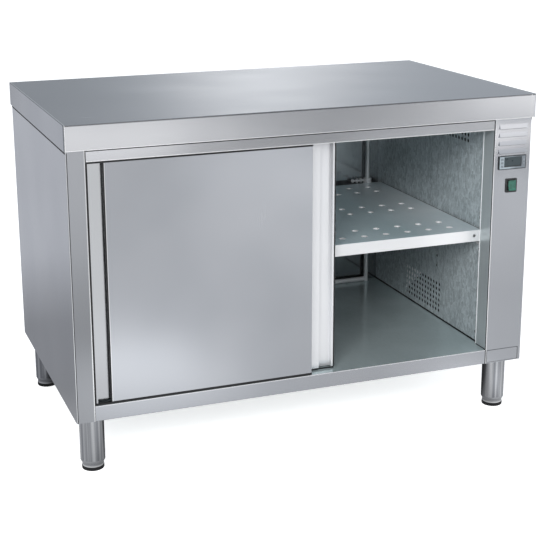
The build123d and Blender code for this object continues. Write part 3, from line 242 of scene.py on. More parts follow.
def sorts_of_ray(shop):
    """Three values, each 1 for its own rays: from the camera, from metal and through glass."""
    outputs = shop.node("ShaderNodeLightPath").socket.node.outputs
    return [Value(shop, outputs[name]) for name in ("Is Camera Ray", "Is Glossy Ray", "Is Transmission Ray")]


def dress_paper(material):
    """Matt and glowing to the camera; to metal, the paper's own level and tint."""
    shop = Shop(material.node_tree)
    camera, glossy, through = sorts_of_ray(shop)
    place = shop.node("ShaderNodeTexCoord", None, None, 3)
    tint = shop.blend(shop.split(place)[Y_AXIS].ramp(*TINT_CHANGE), TINT_FRONT, TINT_BACK)
    matt = shop.node("ShaderNodeBsdfDiffuse", None, {"Color": rgba(PAPER)})
    glow = camera.most(through) * PAPER_GLOW
    white = shop.node("ShaderNodeEmission", None, {"Color": rgba(WHITE), "Strength": glow})
    direct = shop.node("ShaderNodeAddShader", None, {0: matt, 1: white})
    mirrored = shop.node("ShaderNodeEmission", None, {"Color": tint, "Strength": paper_level(shop, place)})
    both = shop.node("ShaderNodeMixShader", None, {0: glossy, 1: direct, 2: mirrored})
    shop.node("ShaderNodeOutputMaterial", None, {"Surface": both})


def make_paper():
    """Square sheet of paper, its middle below the table."""
    half = PAPER_SPAN / 2
    corners = [(-half, -half, 0), (half, -half, 0), (half, half, 0), (-half, half, 0)]
    mesh = bpy.data.meshes.new("paper")
    mesh.from_pydata(corners, [], [(0, 1, 2, 3)])
    material = bpy.data.materials.new("paper")
    material.use_nodes = True
    dress_paper(material)
    mesh.materials.append(material)
    paper = bpy.data.objects.new("paper", mesh)
    scene.collection.objects.link(paper)


make_paper()
print("paper", PAPER_SPAN, "m")

# %% [markdown]
# ## The room
#
# To the camera the room is white. Metal meets an even grey with soft lights in it. One stands low behind the
# table: the worktop mirrors it as the bright strip across its middle. The others stand ahead, one of them a
# dark patch, and the worktop's front edge, the header and the louvres mirror them. Lamps could do the same,
# but each would add a shadow; a level for each direction adds none.

# %% Room
# Soft lights: unit direction, tightness, added level
BEHIND = ((0.3483, 0.9315, 0.1045), 300.0, 1.55)
BEHIND_TINT = (0.985, 0.995, 1.02)
AHEAD = (((0.2245, -0.9723, 0.0645), 150.0, 2.0), ((0.4535, -0.8893, 0.0600), 110.0, -1.7),
         ((0.5715, -0.8167, 0.0785), 260.0, 3.9), ((0.3884, -0.5759, 0.7193), 26.0, 0.8),
         ((0.5600, -0.8120, 0.1650), 120.0, 0.4))
AHEAD_TINT = (1.03, 1.0, 0.985)
FULL_TINT = 0.8            # level at which a soft light shows its whole tint
ROOM_TINT = (0.93, 0.995, 1.07)
ROOM_SIDE = 0.43           # level at the sides and overhead, and where it changes
ROOM_OVERHEAD = 0.45
OVERHEAD_CHANGE = (0.10, 0.75)
ROOM_RIGHT = 0.14          # added towards the right-hand side
RIGHT_CHANGE = (0.2, 0.5)
ROOM_LEAST = 0.05


def soft_light(shop, way, light):
    """Bell exp((cosine - 1) * tightness) round one direction."""
    centre, tight, lift = light
    facing = shop.node("ShaderNodeVectorMath", {"operation": "DOT_PRODUCT"}, {0: way, 1: centre}, 1)
    return ((facing - 1) * tight).exp() * lift


def make_room():
    """World level: white to the camera; to metal, the even grey plus the soft lights."""
    world = bpy.data.worlds.new("room")
    scene.world = world
    world.use_nodes = True
    shop = Shop(world.node_tree)
    camera, _, through = sorts_of_ray(shop)
    way = shop.node("ShaderNodeTexCoord", None, None, 0)
    x, _, z = shop.split(way)
    behind = soft_light(shop, way, BEHIND)
    ahead = soft_light(shop, way, AHEAD[0])
    for light in AHEAD[1:]:
        ahead = ahead + soft_light(shop, way, light)
    grey = z.ramp(*OVERHEAD_CHANGE, ROOM_SIDE, ROOM_OVERHEAD) + x.ramp(*RIGHT_CHANGE, 0, ROOM_RIGHT)
    room = (grey + behind + ahead).most(ROOM_LEAST)
    tint = shop.blend(behind.ramp(0, FULL_TINT), ROOM_TINT, BEHIND_TINT)
    tint = shop.blend(ahead.ramp(0, FULL_TINT), tint, AHEAD_TINT)
    plain = camera.most(through)
    sockets = {"Color": shop.blend(plain, tint, WHITE), "Strength": plain + (1 - plain) * room}
    shop.node("ShaderNodeOutputWorld", None, {"Surface": shop.node("ShaderNodeBackground", None, sockets)})


make_room()
print("soft lights", 1 + len(AHEAD))

# %% [markdown]
# ## Lamps
#
# Three soft boxes do what the paper can't: they light the inside of the cupboard through the open half,
# give the plastics their tone and cast a faint shadow on the paper. The key stands to the left and high up,
# so that its light falls through the doorway on the right wall and the floor. Metal doesn't mirror the
# boxes themselves: seen from behind the table, their glare would burn out the worktop.

# %% Lamps
# Lamps: name, place, aim, side in metres, watts
LAMPS = (
    ("key_box", (-2.6, -3.6, 3.0), (0.2, 0.0, 0.4), 1.6, 130.0),
    ("fill_box", (3.9, -0.6, 2.6), (0.2, 0.0, 0.5), 1.4, 15.0),
    ("front_box", (-0.9, -3.4, 2.0), (0.3, 0.0, 0.45), 0.8, 52.0),
)


def make_lamp(name, place, aim, side, watts):
    """Square soft box at a place, its -Z axis towards the aim."""
    data = bpy.data.lights.new(name, "AREA")
    data.shape = "RECTANGLE"
    data.size, data.size_y = side, side
    data.energy = watts
    lamp = bpy.data.objects.new(name, data)
    scene.collection.objects.link(lamp)
    towards = Vector(aim) - Vector(place)
    lamp.matrix_world = Matrix.Translation(place) @ towards.to_track_quat("-Z", "Y").to_matrix().to_4x4()
    lamp.visible_camera = False
    lamp.visible_glossy = False


for lamp in LAMPS:
    make_lamp(*lamp)
print("lamps", [lamp[0] for lamp in LAMPS])

# %% [markdown]
# ## Sheet steel
#
# The outside is satin stainless sheet. Close up it has fine straight grain from the brushing belt; a step
# back it has faint clouds where the belt pressed more or less, and the sheet is never quite flat between
# its bends. The grain goes into roughness and a very small bump, the clouds into colour and roughness, and
# the unevenness into a broad shallow bump, so that reflections wander as they do on real sheet. Along
# many bends a thin pale line is painted into the colour, a painted highlight, and along a few a dark line,
# a painted reflection. Wider bands of painted light and shade are made in the same way. A scanned sheet
# could hold all this too, but noise in Object coordinates needs no unwrapping and never repeats.

# %% One finish


class Finish(Shop):
    """A material built round one Principled shader."""

    def __init__(self, name, **constants):
        self.material = bpy.data.materials.new(name)
        self.material.use_nodes = True
        super().__init__(self.material.node_tree)
        self.skin = self.node("ShaderNodeBsdfPrincipled").socket.node
        self.node("ShaderNodeOutputMaterial", None, {"Surface": Value(self, self.skin.outputs[0])})
        self.place = self.node("ShaderNodeTexCoord", None, None, 3)
        self.set(**constants)

    def set(self, **sockets):
        """Feed the shader: base_color, roughness and so on, a number or a link each."""
        for name, value in sockets.items():
            socket = self.skin.inputs[name.replace("_", " ").title()]
            if isinstance(value, Value):
                self.tree.links.new(value.socket, socket)
            else:
                socket.default_value = value

    def at(self, axis):
        """Place along one axis, in metres."""
        return self.split(self.place)[axis]

    def stretched(self, *scale):
        """Object coordinates times a scale for each axis."""
        return self.node("ShaderNodeMapping", None, {"Vector": self.place, "Scale": scale})

    def cells(self, vector, scale):
        """A random level for each cell of a Voronoi pattern."""
        colour = self.node("ShaderNodeTexVoronoi", None, {"Vector": vector, "Scale": scale}, 1)
        return self.split(colour)[0]

    def bump(self, height, distance, under=None):
        """Normal tipped by a height; distance is the height of 1, in metres."""
        sockets = {"Height": height, "Distance": distance}
        if under is not None:
            sockets["Normal"] = under
        return self.node("ShaderNodeBump", None, sockets)

    def facing(self, axis):
        """Part of the surface normal along one axis, from -1 to 1."""
        return self.split(self.node("ShaderNodeNewGeometry", None, None, 1))[axis]


print("finish ready")

# %% How sheet steel looks
SATIN = 0.25              # roughness of brushed sheet
STEEL_DARK = (0.385, 0.402, 0.430)
STEEL_PALE = (0.455, 0.468, 0.495)
GRAIN_ACROSS = 900.0      # lines per metre across the grain
GRAIN_ALONG = 9.0
GRAIN_DEPTH = 0.000004
STEEL_CLOUDS = 3.2        # clouds per metre
TONES = (0.3, 0.7)        # noise below the first is the dark tone, above the second the pale one
WAVES = 2.4               # waves per metre of an uneven sheet
WAVE_GAIN = 8             # bump for each metre of unevenness, because the noise spans a small part of 0 to 1
SHEET_WAVES = 0.0016      # unevenness of wide sheet, in metres
LEAN_REACH = 0.2


def steel_look(finish, grain_axis, rough, dark=STEEL_DARK, pale=STEEL_PALE, waviness=SHEET_WAVES, folds=(),
               lean=None, metallic=1.0):
    """Clouds of 0.3 m between two greys, grain along one axis, a sheet uneven by about a millimetre, and a
    bell exp(-(distance / width)^2) for each painted band, given as axis, place, width in metres and tone:
    the narrow ones are painted highlights or dark lines along bends, the wide ones painted light or shade.
    A lean is a height and a slope: above that height the sheet tips back, by the full slope 0.2 m higher up."""
    scales = [GRAIN_ACROSS] * 3
    scales[grain_axis] = GRAIN_ALONG
    grain = finish.noise(finish.stretched(*scales), 1.0, 1.0)
    cloud = finish.noise(finish.place, STEEL_CLOUDS)
    colour = finish.blend((cloud * 0.9 + grain * 0.1).ramp(*TONES), dark, pale)
    # Each painted band blends the colour towards its tone: painted light or painted shade.
    for axis, place, width, tone in folds:
        away = finish.at(axis).off(place) / width
        colour = finish.blend((away * away * -1).exp(), colour, tone)
    broad = finish.bump(finish.noise(finish.place, WAVES, 1.0), waviness * WAVE_GAIN)
    if lean is not None:
        height, slope = lean
        rise = (finish.at(Z_AXIS) - height).most(0.0)
        broad = finish.bump(rise * rise * (-slope / (2 * LEAN_REACH)), 1.0, broad)
    return {"base_color": colour, "metallic": metallic,
            "roughness": rough + (cloud - 0.5) * 0.08 + (grain - 0.5) * 0.04,
            "normal": finish.bump(grain, GRAIN_DEPTH, broad)}


def make_sheet_steel(name, grain_axis, rough, *tones, **more):
    """Sheet with the same look on both faces."""
    finish = Finish(name)
    finish.set(**steel_look(finish, grain_axis, rough, *tones, **more))
    return finish.material


satin_along_x = make_sheet_steel("satin_steel_along_x", X_AXIS, SATIN)
satin_upright = make_sheet_steel("satin_steel_upright", Z_AXIS, SATIN)
print("plain satin", satin_along_x.name, satin_upright.name)

# %% [markdown]
# ## Header, left door, feet and legs
#
# The header is painted paler than the doors, a painted light, with a painted pale band at its left end and
# a band of painted shade in the middle, and it tips back a little towards the worktop. The left door has a
# painted highlight along the fold beside its grip, and the feet have one above their pads. The legs are
# drawn tube: the drawing left streaks that run up them, so their tone is noise stretched along Z.

# %% Header, left door and feet
# Painted highlight: this near-white is blended into thin bands along bends, standing in for the light that a
# rounded bend catches.
PAINTED_HIGHLIGHT_WHITE = (0.93, 0.935, 0.945)
# Painted light and shade on the header: its greys are paler than the doors', with a painted pale band at its
# left end, a painted shade band in the middle and a painted highlight along its lower fold.
HEADER_LIT_DARK = (0.48, 0.495, 0.52)
HEADER_LIT_PALE = (0.545, 0.557, 0.582)
HEADER_PAINTED_LIGHT = (0.626, 0.641, 0.672)
HEADER_PAINTED_SHADE = (0.428, 0.439, 0.459)
HEADER_PAINTED_BANDS = ((X_AXIS, -0.56, 0.22, HEADER_PAINTED_LIGHT), (X_AXIS, -0.12, 0.24, HEADER_PAINTED_SHADE),
                (Z_AXIS, 0.7622, 0.0018, PAINTED_HIGHLIGHT_WHITE))
FRONT_LEAN = (0.62, 0.13)
# Painted highlight along the left door's fold beside its grip.
LEFT_DOOR_HIGHLIGHT = ((X_AXIS, -0.5088, 0.0014, PAINTED_HIGHLIGHT_WHITE),)
FOOT_ROUGH = 0.16
FOOT_DARK = (0.40, 0.41, 0.43)
FOOT_PALE = (0.47, 0.48, 0.50)
# Painted highlight along the foot's fold just above the pad.
FOOT_HIGHLIGHT = ((Z_AXIS, 0.0108, 0.0018, PAINTED_HIGHLIGHT_WHITE),)

satin_header = make_sheet_steel("satin_header", X_AXIS, SATIN, HEADER_LIT_DARK, HEADER_LIT_PALE, lean=FRONT_LEAN,
                                folds=HEADER_PAINTED_BANDS)
satin_left_door = make_sheet_steel("satin_left_door", Z_AXIS, SATIN, folds=LEFT_DOOR_HIGHLIGHT)
foot_steel = make_sheet_steel("foot_steel", Y_AXIS, FOOT_ROUGH, FOOT_DARK, FOOT_PALE, folds=FOOT_HIGHLIGHT)
print("sheets", satin_header.name, satin_left_door.name, foot_steel.name)

# %% Legs
LEG_ROUGH = 0.2
LEG_DARK = (0.26, 0.27, 0.29)
LEG_PALE = (0.585, 0.595, 0.615)
LEG_STREAKS = (96.0, 96.0, 1.2)
LEG_TONES = (0.40, 0.62)


def make_leg_steel():
    """Drawn tube: the sheet's look, but with greys in streaks 1 cm wide that run up the tube."""
    finish = Finish("polished_legs")
    look = steel_look(finish, Y_AXIS, LEG_ROUGH)
    streak = finish.noise(finish.stretched(*LEG_STREAKS), 1.0)
    look["base_color"] = finish.blend(streak.ramp(*LEG_TONES), LEG_DARK, LEG_PALE)
    finish.set(**look)
    return finish.material


polished_legs = make_leg_steel()
print("legs", polished_legs.name)

# %% [markdown]
# ## Grips, rods and galvanised sheet
#
# The door grips and the rods in the back corners are a brighter, smoother steel. The right grip is painted
# paler than the left, a painted light; the left grip has painted shade towards its foot and the right one
# towards its top. The inner walls are galvanised: the zinc froze in flat crystals a few millimetres across,
# each mirroring in its own way, and the sheet carries upright streaks from the mill. Voronoi cells make the
# crystals, because each cell can carry its own tone and tilt. The floor and the shelf's top are dull sheet,
# greyer and less like a mirror than the outside.

# %% Grips and rods
STIFF_WAVES = 0.0006      # narrow pieces are stiffer than wide sheet
GRIP_ROUGH = 0.2
# Painted light and shade on the grips: the right grip's greys are paler than the left's, the left grip has
# painted shade towards its foot and the right one towards its top.
LEFT_GRIP_DARK = (0.54, 0.55, 0.565)
LEFT_GRIP_PALE = (0.62, 0.63, 0.645)
LEFT_GRIP_PAINTED_SHADE = (0.345, 0.352, 0.365)
LEFT_GRIP_SHADE_BAND = ((Z_AXIS, 0.24, 0.16, LEFT_GRIP_PAINTED_SHADE),)
RIGHT_GRIP_LIT_DARK = (0.69, 0.695, 0.71)
RIGHT_GRIP_LIT_PALE = (0.75, 0.755, 0.77)
RIGHT_GRIP_PAINTED_SHADE = (0.54, 0.545, 0.56)
RIGHT_GRIP_SHADE_BAND = ((Z_AXIS, 0.73, 0.20, RIGHT_GRIP_PAINTED_SHADE),)
RIGHT_GRIP_METALLIC = 0.6
ROD_ROUGH = 0.34
ROD_DARK = (0.84, 0.85, 0.86)
ROD_PALE = (0.93, 0.935, 0.94)
ROD_METALLIC = 0.45

left_grip_steel = make_sheet_steel("left_grip_steel", Z_AXIS, GRIP_ROUGH, LEFT_GRIP_DARK, LEFT_GRIP_PALE,
                                   STIFF_WAVES, folds=LEFT_GRIP_SHADE_BAND)
right_grip_steel = make_sheet_steel("right_grip_steel", Z_AXIS, GRIP_ROUGH, RIGHT_GRIP_LIT_DARK, RIGHT_GRIP_LIT_PALE,
                                    STIFF_WAVES, folds=RIGHT_GRIP_SHADE_BAND, metallic=RIGHT_GRIP_METALLIC)
rod_steel = make_sheet_steel("rod_steel", Z_AXIS, ROD_ROUGH, ROD_DARK, ROD_PALE, STIFF_WAVES,
                             metallic=ROD_METALLIC)
print("bright steel", left_grip_steel.name, right_grip_steel.name, rod_steel.name)

# %% Galvanised and dull sheet
ZINC_DARK = (0.34, 0.395, 0.415)
ZINC_PALE = (0.66, 0.73, 0.755)
ZINC_TONES = (0.15, 0.85)
ZINC_METALLIC = 0.35
ZINC_ROUGH = 0.34
ZINC_DEPTH = 0.00025
SPANGLE = 170.0           # crystals per metre across, fewer along Z
ZINC_STREAKS = (60.0, 60.0, 2.5)
DULL_CLOUDS = 5.0         # clouds per metre, and scuffs drawn out along Y
DULL_SCUFFS = (260.0, 60.0, 260.0)
DULL_DEPTH = 0.00002


def make_galvanised():
    """Each crystal has its own grey, roughness and tilt; streaks are noise drawn out along Z."""
    finish = Finish("galvanised")
    crystal = finish.cells(finish.stretched(SPANGLE, SPANGLE, SPANGLE / 2.2), 1.0)
    small = finish.cells(finish.stretched(SPANGLE * 2.4, SPANGLE * 2.4, SPANGLE * 1.4), 1.0)
    streak = finish.noise(finish.stretched(*ZINC_STREAKS), 1.0)
    tone = (crystal * 0.45 + small * 0.30 + streak * 0.25).ramp(*ZINC_TONES)
    finish.set(base_color=finish.blend(tone, ZINC_DARK, ZINC_PALE), metallic=ZINC_METALLIC,
               roughness=ZINC_ROUGH + crystal * 0.14 + streak * 0.06,
               normal=finish.bump(crystal + small * 0.5, ZINC_DEPTH))
    return finish.material


def dull_look(finish, dark, pale, metallic, rough):
    """Grey-green sheet, part matt, with slow clouds and fine scuffs."""
    cloud = finish.noise(finish.place, DULL_CLOUDS, 3.0)
    scuff = finish.noise(finish.stretched(*DULL_SCUFFS), 1.0)
    return {"base_color": finish.blend((cloud * 0.8 + scuff * 0.2).ramp(*TONES), dark, pale),
            "metallic": metallic, "roughness": rough + cloud * 0.08 + scuff * 0.04,
            "normal": finish.bump(scuff, DULL_DEPTH)}


galvanised = make_galvanised()
print("zinc", galvanised.name)

# %% [markdown]
# ## Sheets with two faces
#
# Six pieces have faces that differ. The worktop's front flange is painted paler than its top, a painted
# light, and its side flanges darker, a painted shade, most of all at the back. The column is dull behind its
# satin front, the floor is dull behind its polished rail, and the back panel is polished inside and satin
# outside, with painted shade inside below the shelf. The shelf's folded edge and holes are painted bright, a
# painted light. The left panel's front fold is painted a little paler than its side, with a band of painted
# shade low down.
# A material for each face would need the faces picked by hand. Where a face lies, or which way it looks,
# tells the faces apart just as well, so one material holds both.

# %% Two looks on one sheet
FRONT_SHEET = -0.3384     # just behind the front sheets
FACING = (0.6, 0.8)       # part of the normal along an axis from which a face counts as looking that way


def mixed(finish, share, first, second):
    """Two looks on one sheet: the second where the share is 1."""
    normal = finish.node("ShaderNodeMix", {"data_type": "VECTOR"},
                         {0: share, 4: first["normal"], 5: second["normal"]}, 1)
    finish.set(base_color=finish.blend(share, first["base_color"], second["base_color"]), normal=normal,
               roughness=share * (second["roughness"] - first["roughness"]) + first["roughness"])
    if first["metallic"] == second["metallic"]:
        finish.set(metallic=first["metallic"])
    else:
        finish.set(metallic=share.ramp(0, 1, first["metallic"], second["metallic"]))
    return finish.material


def behind_plane(finish, plane, blur=0.0001):
    """0 in front of a plane across Y, 1 behind it."""
    return finish.at(Y_AXIS).ramp(plane - blur, plane + blur)


print("two looks ready")

# %% Worktop and column
# Painted reflection: a near-black line along the worktop's top front bend and its left corner.
PAINTED_DARK_LINE = (0.10, 0.105, 0.115)
WORKTOP_WAVES = 0.0005
# Painted light: the worktop's front flange is paler than its top.
FRONT_LIT_DARK = (0.535, 0.552, 0.58)
FRONT_LIT_PALE = (0.60, 0.613, 0.638)
# Painted shade: the worktop's side flanges are darker than its top, and darker still towards the back.
FLANGE_SHADED_DARK = (0.305, 0.325, 0.35)
FLANGE_SHADED_PALE = (0.35, 0.365, 0.39)
FLANGE_PAINTED_SHADE = (0.216, 0.228, 0.245)
# Painted highlight: a pale line near the worktop's right end and along the post's outer edge.
PALE_LINE_HIGHLIGHT = (0.60, 0.61, 0.63)
FLANGE_SHADE_BAND = ((Y_AXIS, 0.35, 0.30, FLANGE_PAINTED_SHADE),)
# Painted highlights and painted dark lines along the worktop's bends.
WORKTOP_PAINTED_LINES = ((Z_AXIS, 0.7905, 0.0012, PAINTED_HIGHLIGHT_WHITE), (Z_AXIS, 0.8479, 0.0014, PAINTED_DARK_LINE),
                 (X_AXIS, -0.5972, 0.0010, PAINTED_HIGHLIGHT_WHITE), (X_AXIS, -0.5986, 0.0006, PAINTED_DARK_LINE),
                 (X_AXIS, 0.5880, 0.0012, PALE_LINE_HIGHLIGHT))
# Painted light: a pale band across the louvres, and a painted highlight along the column's fold at the
# doorway.
LOUVRE_PAINTED_LIGHT = (0.66, 0.67, 0.70)
COLUMN_PAINTED_LIGHT = ((Z_AXIS, 0.762, 0.050, LOUVRE_PAINTED_LIGHT), (X_AXIS, 0.4922, 0.0018, PAINTED_HIGHLIGHT_WHITE))
COLUMN_LEAN = (0.62, 0.28)
RETURN_DARK = (0.42, 0.47, 0.485)
RETURN_PALE = (0.52, 0.57, 0.585)


def make_worktop_sheet():
    """Satin with painted lines along its bends; the front flange has painted light, the side flanges painted
    shade.
    """
    finish = Finish("worktop_sheet")
    # Painted shade where the surface faces a side.
    side = finish.facing(X_AXIS).off(0).ramp(*FACING)
    # Painted light where the surface faces the front.
    front = (finish.facing(Y_AXIS) * -1).ramp(*FACING)
    dark, pale = finish.blend(front, STEEL_DARK, FRONT_LIT_DARK), finish.blend(front, STEEL_PALE, FRONT_LIT_PALE)
    satin = steel_look(finish, X_AXIS, SATIN, dark, pale, WORKTOP_WAVES, WORKTOP_PAINTED_LINES, FRONT_LEAN)
    flange = steel_look(finish, Y_AXIS, SATIN, FLANGE_SHADED_DARK, FLANGE_SHADED_PALE, folds=FLANGE_SHADE_BAND)
    return mixed(finish, side, satin, flange)


def make_column_sheet():
    """Satin front, painted light at the louvres, painted highlight on the doorway fold; dull behind the front
    sheet.
    """
    finish = Finish("column_sheet")
    satin = steel_look(finish, Z_AXIS, SATIN, lean=COLUMN_LEAN, folds=COLUMN_PAINTED_LIGHT)
    dull = dull_look(finish, RETURN_DARK, RETURN_PALE, metallic=0.45, rough=0.29)
    return mixed(finish, behind_plane(finish, FRONT_SHEET), satin, dull)


worktop_sheet, column_sheet = make_worktop_sheet(), make_column_sheet()
print("two faces", worktop_sheet.name, column_sheet.name)

# %% Left panel, floor and back
# Painted light and shade on the left panel: its front fold is a little paler than its side, with a band of
# painted shade low down and painted highlights along its edges.
POST_LIT_DARK = (0.40, 0.414, 0.438)
POST_LIT_PALE = (0.455, 0.467, 0.492)
PANEL_DARK = (0.38, 0.395, 0.42)
PANEL_PALE = (0.44, 0.452, 0.477)
POST_PAINTED_SHADE = (0.215, 0.222, 0.235)
POST_PAINTED_BANDS = ((Z_AXIS, 0.33, 0.21, POST_PAINTED_SHADE), (X_AXIS, -0.5520, 0.0016, PAINTED_HIGHLIGHT_WHITE),
              (X_AXIS, -0.5945, 0.0009, PALE_LINE_HIGHLIGHT))
# Painted highlight along the rail's top fold.
RAIL_HIGHLIGHT = ((Z_AXIS, 0.1777, 0.0013, PAINTED_HIGHLIGHT_WHITE),)
FLOOR_DARK = (0.45, 0.535, 0.545)
FLOOR_PALE = (0.60, 0.695, 0.705)
BACK_SHEET = 0.3452       # half-way through the back panel
# Painted shade: the inside of the back panel is darker below the shelf than above it.
BACK_LIT_UPPER = (0.62, 0.625, 0.63)
BACK_SHADED_LOWER = (0.29, 0.292, 0.295)
BACK_SHADE_CHANGE = (0.44, 0.50)
BACK_ROUGH = 0.10
BACK_WAVES = 0.0002


def make_post_sheet():
    """Front fold painted a little paler, painted highlights at its edges, painted shade low down; plain satin
    side.
    """
    finish = Finish("post_sheet")
    front = steel_look(finish, Z_AXIS, SATIN, POST_LIT_DARK, POST_LIT_PALE, folds=POST_PAINTED_BANDS)
    side = steel_look(finish, Z_AXIS, SATIN, PANEL_DARK, PANEL_PALE)
    return mixed(finish, behind_plane(finish, FRONT_SHEET), front, side)


def make_floor_sheet():
    """Satin rail with a painted highlight along its top fold; dull floor behind it."""
    finish = Finish("floor_sheet")
    rail = steel_look(finish, X_AXIS, SATIN, folds=RAIL_HIGHLIGHT)
    return mixed(finish, behind_plane(finish, FRONT_SHEET), rail,
                 dull_look(finish, FLOOR_DARK, FLOOR_PALE, metallic=0.6, rough=0.11))


def make_back_sheet():
    """Satin outside; dark and polished inside, where it mirrors the wall, with painted shade below the shelf.
    """
    finish = Finish("back_sheet")
    tone = finish.blend(finish.at(Z_AXIS).ramp(*BACK_SHADE_CHANGE), BACK_SHADED_LOWER, BACK_LIT_UPPER)
    polished = steel_look(finish, Z_AXIS, BACK_ROUGH, tone, finish.blend(0.08, tone, PAINTED_HIGHLIGHT_WHITE), BACK_WAVES)
    satin = steel_look(finish, Z_AXIS, SATIN)
    return mixed(finish, behind_plane(finish, BACK_SHEET, 0.0002), polished, satin)


post_sheet, floor_sheet, back_sheet = make_post_sheet(), make_floor_sheet(), make_back_sheet()
print("two faces", post_sheet.name, floor_sheet.name, back_sheet.name)

# %% Shelf
SHELF_DARK = (0.53, 0.66, 0.695)
SHELF_PALE = (0.70, 0.83, 0.865)
# Painted light: the shelf's top is paler towards its right end.
SHELF_LIT_END_DARK = (0.72, 0.80, 0.83)
SHELF_LIT_END_PALE = (0.88, 0.93, 0.95)
SHELF_LIGHT_CHANGE = (0.30, 0.44)
SHELF_EDGE_ROUGH = 0.30
# Painted light: the shelf's edges and hole collars are paler than its top, and paler still at the edge's
# right end.
SHELF_EDGE_LIT_DARK = (0.63, 0.635, 0.64)
SHELF_EDGE_LIT_PALE = (0.69, 0.695, 0.70)
SHELF_EDGE_PAINTED_LIGHT = (0.785, 0.79, 0.795)
SHELF_EDGE_LIGHT_BAND = ((X_AXIS, 0.42, 0.12, SHELF_EDGE_PAINTED_LIGHT),)
SHELF_EDGE_METALLIC = 0.45


def make_shelf_sheet():
    """Dull where it faces up, painted lighter at its right end; edges and holes painted bright, a painted
    light.
    """
    finish = Finish("shelf_sheet")
    end = finish.at(X_AXIS).ramp(*SHELF_LIGHT_CHANGE)
    dark, pale = finish.blend(end, SHELF_DARK, SHELF_LIT_END_DARK), finish.blend(end, SHELF_PALE, SHELF_LIT_END_PALE)
    bright = steel_look(finish, X_AXIS, SHELF_EDGE_ROUGH, SHELF_EDGE_LIT_DARK, SHELF_EDGE_LIT_PALE, STIFF_WAVES,
                        SHELF_EDGE_LIGHT_BAND, metallic=SHELF_EDGE_METALLIC)
    dull = dull_look(finish, dark, pale, metallic=0.50, rough=0.27)
    # Painted light on every face that doesn't face up.
    return mixed(finish, finish.facing(Z_AXIS).ramp(*FACING), bright, dull)


shelf_sheet = make_shelf_sheet()
print("two faces", shelf_sheet.name)

# %% [markdown]
# ## Plastics, rubber and the hidden materials
#
# The controller, the switch and the pads are moulded. Moulded plastic has a fine spark-eroded texture, a
# little gloss and a slight change of tone. The hidden pieces, such as the board, the wool and the motor,
# get their own finishes too, because a table with its doors open shows more than the photograph does. Most
# of these differ only in tone, gloss and metal, so one function makes them from a list. The controller's
# face, its window and the lit rocker have patterns of their own, so each has a function to itself.

# %% Moulded finishes
MOULD_GRAIN = 1400.0      # grains per metre
MOULD_DEPTH = 0.00002
MOULD_CLOUDS = 45.0
GRAIN_ROUGH = 0.2         # how far the grain changes the roughness
# Finishes: dark tone, pale tone, roughness, metallic
MOULDED = {
    "nylon": ((0.80, 0.80, 0.77), (0.88, 0.88, 0.85), 0.45, 0.0),
    "black_rubber": ((0.003, 0.003, 0.0035), (0.008, 0.008, 0.009), 0.6, 0.0),
    "button_grey": ((0.16, 0.18, 0.20), (0.22, 0.24, 0.26), 0.5, 0.0),
    "switch_black": ((0.010, 0.012, 0.013), (0.020, 0.022, 0.023), 0.28, 0.0),
    "motor_grey": ((0.22, 0.23, 0.24), (0.32, 0.33, 0.34), 0.5, 0.6),
    "heater_dark": ((0.10, 0.09, 0.085), (0.21, 0.19, 0.17), 0.5, 0.7),
    "terminal_cream": ((0.66, 0.62, 0.52), (0.76, 0.72, 0.62), 0.4, 0.0),
    "gland_grey": ((0.24, 0.24, 0.25), (0.33, 0.33, 0.34), 0.45, 0.0),
    "screw_zinc": ((0.58, 0.59, 0.60), (0.74, 0.75, 0.76), 0.25, 1.0),
}


def make_moulded(name, dark, pale, rough, metallic):
    """Fine bump, slow change of tone between two others, and roughness that follows the grain."""
    finish = Finish(name, metallic=metallic)
    grain = finish.noise(finish.place, MOULD_GRAIN)
    cloud = finish.noise(finish.place, MOULD_CLOUDS)
    finish.set(base_color=finish.blend(cloud.ramp(*TONES), dark, pale),
               roughness=rough + (grain - 0.5) * GRAIN_ROUGH,
               normal=finish.bump(grain, MOULD_DEPTH))
    return finish.material


moulded = {name: make_moulded(name, *look) for name, look in MOULDED.items()}
black_rubber, switch_black = moulded["black_rubber"], moulded["switch_black"]
print("moulded", list(moulded))

# %% Controller and switch
CONTROL_MIDDLE = (0.544, 0.677)      # x and z
CONTROL_HALF = (0.0368, 0.0153)      # from the middle to the rim
CONTROL_RIM_BLUR = 0.0006
CONTROL_ROUGH = 0.42
CONTROL_STRIP = (0.30, 0.35, 0.38)
CONTROL_FACE = (0.15, 0.17, 0.19)
CONTROL_RIM = (0.010, 0.014, 0.016)
STRIP_END = (0.535, 0.555)
SLATE_DARK = (0.016, 0.027, 0.032)
SLATE_PALE = (0.028, 0.043, 0.050)
# Painted shade: near black along the window's lower and right-hand edges.
WINDOW_SHADE = (0.002, 0.004, 0.005)
WINDOW_SHADE_RIGHT = (0.5665, 0.5690)
WINDOW_SHADE_LOW = (0.6675, 0.6695)
LENS_DARK = (0.004, 0.070, 0.045)
LENS_PALE = (0.010, 0.125, 0.085)
ROCKER_BODY = (0.008, 0.010, 0.010)
LENS_FACING = (0.55, 0.75)


